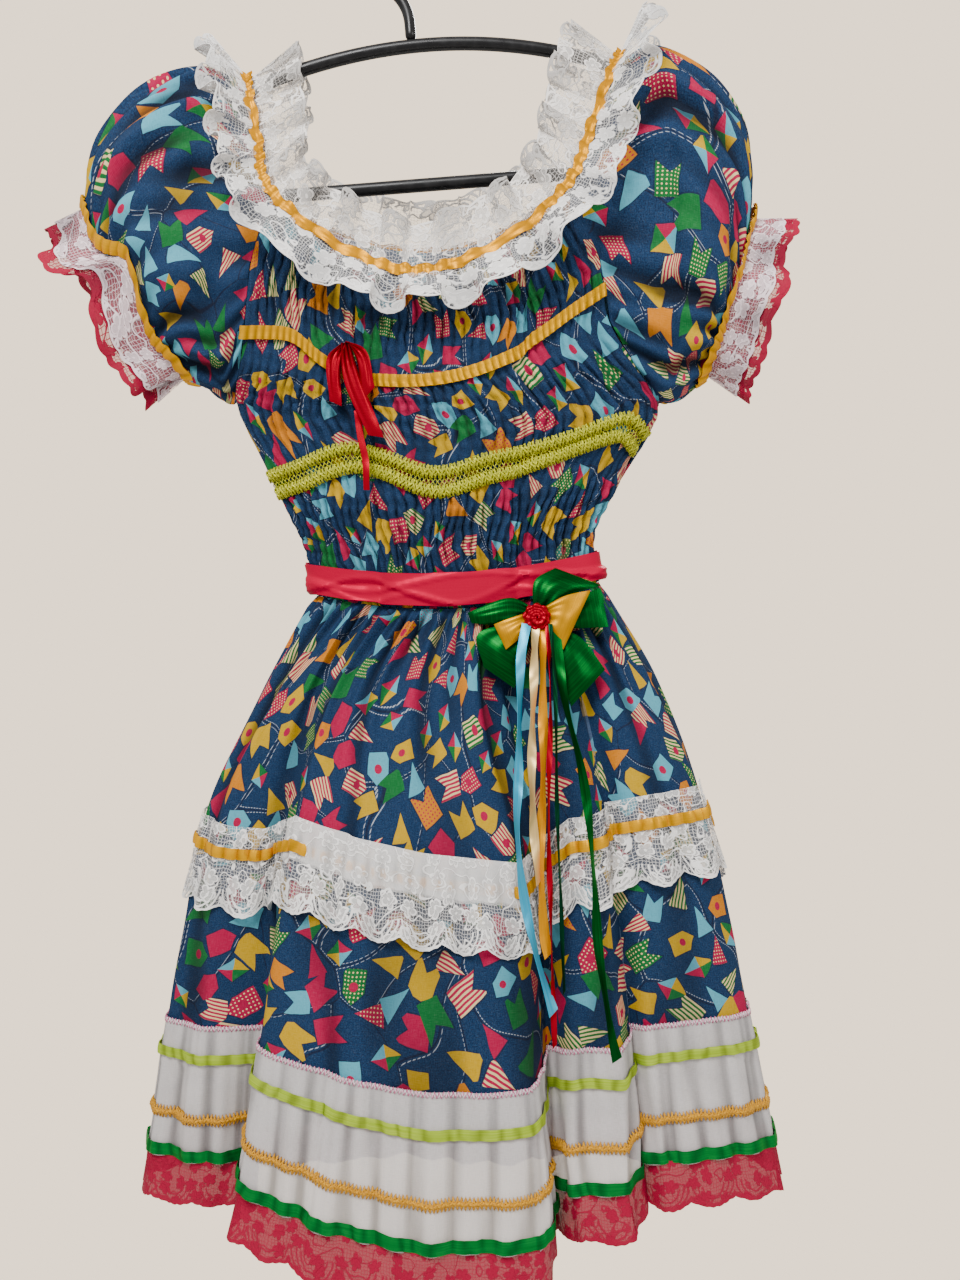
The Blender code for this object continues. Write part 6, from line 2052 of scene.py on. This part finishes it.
@dataclass
class Studio:
    """Pale floor, soft lights and the camera at the photograph's place."""

    distance: float = 0.900
    centre_x: float = 0.056
    centre_z: float = -0.570
    half_height: float = 0.512
    floor_z: float = -1.75

    def light(self, name: str, place: tuple[float, float, float], aim: tuple[float, float, float], size: float,
              power: float) -> None:
        """A soft square light that points at a place."""
        data = bpy.data.lights.new(name, "AREA")
        data.shape, data.size, data.energy = "SQUARE", size, power
        item = bpy.data.objects.new(name, data)
        item.location = place
        way = np.array(aim) - np.array(place)
        item.rotation_euler = (math.acos(-way[2] / np.linalg.norm(way)), 0.0, math.atan2(way[1], way[0]) - math.pi / 2)
        bpy.context.collection.objects.link(item)

    def build(self) -> None:
        """Floor, world, lights and camera."""
        mesh = bpy.data.meshes.new("floor")
        turn = np.linspace(0.0, 2.0 * math.pi, 64, endpoint=False)
        rim = [(self.centre_x + 1.1 * math.cos(angle), 1.1 * math.sin(angle), self.floor_z) for angle in turn]
        mesh.from_pydata(rim, [], [list(range(64))])
        material = bpy.data.materials.new("pale floor")
        material.use_nodes = True
        shader = material.node_tree.nodes["Principled BSDF"]
        shader.inputs["Base Color"].default_value = (0.78, 0.76, 0.73, 1.0)
        shader.inputs["Roughness"].default_value = 0.9
        mesh.materials.append(material)
        floor = bpy.data.objects.new("floor", mesh)
        bpy.context.collection.objects.link(floor)
        world = bpy.data.worlds.new("pale room")
        world.use_nodes = True
        background = world.node_tree.nodes["Background"]
        g = Graph(world.node_tree)
        seen = g.add("ShaderNodeLightPath").outputs["Is Camera Ray"]
        g.feed(g.mix(seen, (0.80, 0.765, 0.72, 1.0), (2.04, 1.68, 1.27, 1.0)), background.inputs["Color"])
        bpy.context.scene.world = world
        self.light("key", (-0.55, -1.5, 1.0), (0.05, 0.0, -0.55), 0.8, 68.0)
        self.light("fill", (1.3, -1.2, 0.2), (0.05, 0.0, -0.6), 0.8, 14.0)
        self.light("rear", (0.5, 1.6, 0.9), (0.05, 0.0, -0.55), 0.8, 60.0)
        camera = bpy.data.cameras.new("camera")
        camera.sensor_width = 36.0
        camera.lens = 18.0 * self.distance / self.half_height
        camera.clip_start = 0.01
        item = bpy.data.objects.new("camera", camera)
        item.location = (self.centre_x, -self.distance, self.centre_z)
        item.rotation_euler = (math.pi / 2, 0.0, 0.0)
        bpy.context.collection.objects.link(item)
        bpy.context.scene.camera = item


def main() -> None:
    """Build every piece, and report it."""
    logging.basicConfig(level=logging.INFO, format="%(name)s: %(message)s")
    hanger = Hanger()
    hanger.build()
    neckline = Neckline(hanger)
    front, back = Bodice(neckline).build()
    Sleeve(neckline, "left", LEFT_SLEEVE, -1, (-0.87, -0.49, -0.90, -0.30), cuff_swing=9.0, notch=18.0).build()
    Sleeve(neckline, "right", RIGHT_SLEEVE, 1, (0.98, 0.05, 0.90, -0.42)).build()
    neckline.build()
    SkirtFace("front", FRONT_FOLDS, 40, 8, 36, 50, {
        "skirt": (0.62, 0.37), "lace": (0.62, 0.07), "lace_ribbon": (0.48, 0.01), "flounce": (0.72, 0.115),
        "lime": (0.62, 0.01), "emerald": (0.70, 0.01), "hem": (0.74, 0.036)}, covered=(-76.0, 84.0), lace_line=LACE_LINE, foot_line=FOOT_LINE,
              lace=FRONT_LACE).build(front.points[-1])
    SkirtFace("back", BACK_FOLDS, 16, 14, 26, 80, {
        "skirt": (0.50, 0.37), "lace": (0.42, 0.07), "lace_ribbon": (0.36, 0.01), "flounce": (0.52, 0.110),
        "lime": (0.47, 0.01), "emerald": (0.50, 0.01), "hem": (0.52, 0.034)}).build(back.points[-1])
    Bows().build()
    Streamers().build()
    Studio().build()


if __name__ == "__main__":
    main()
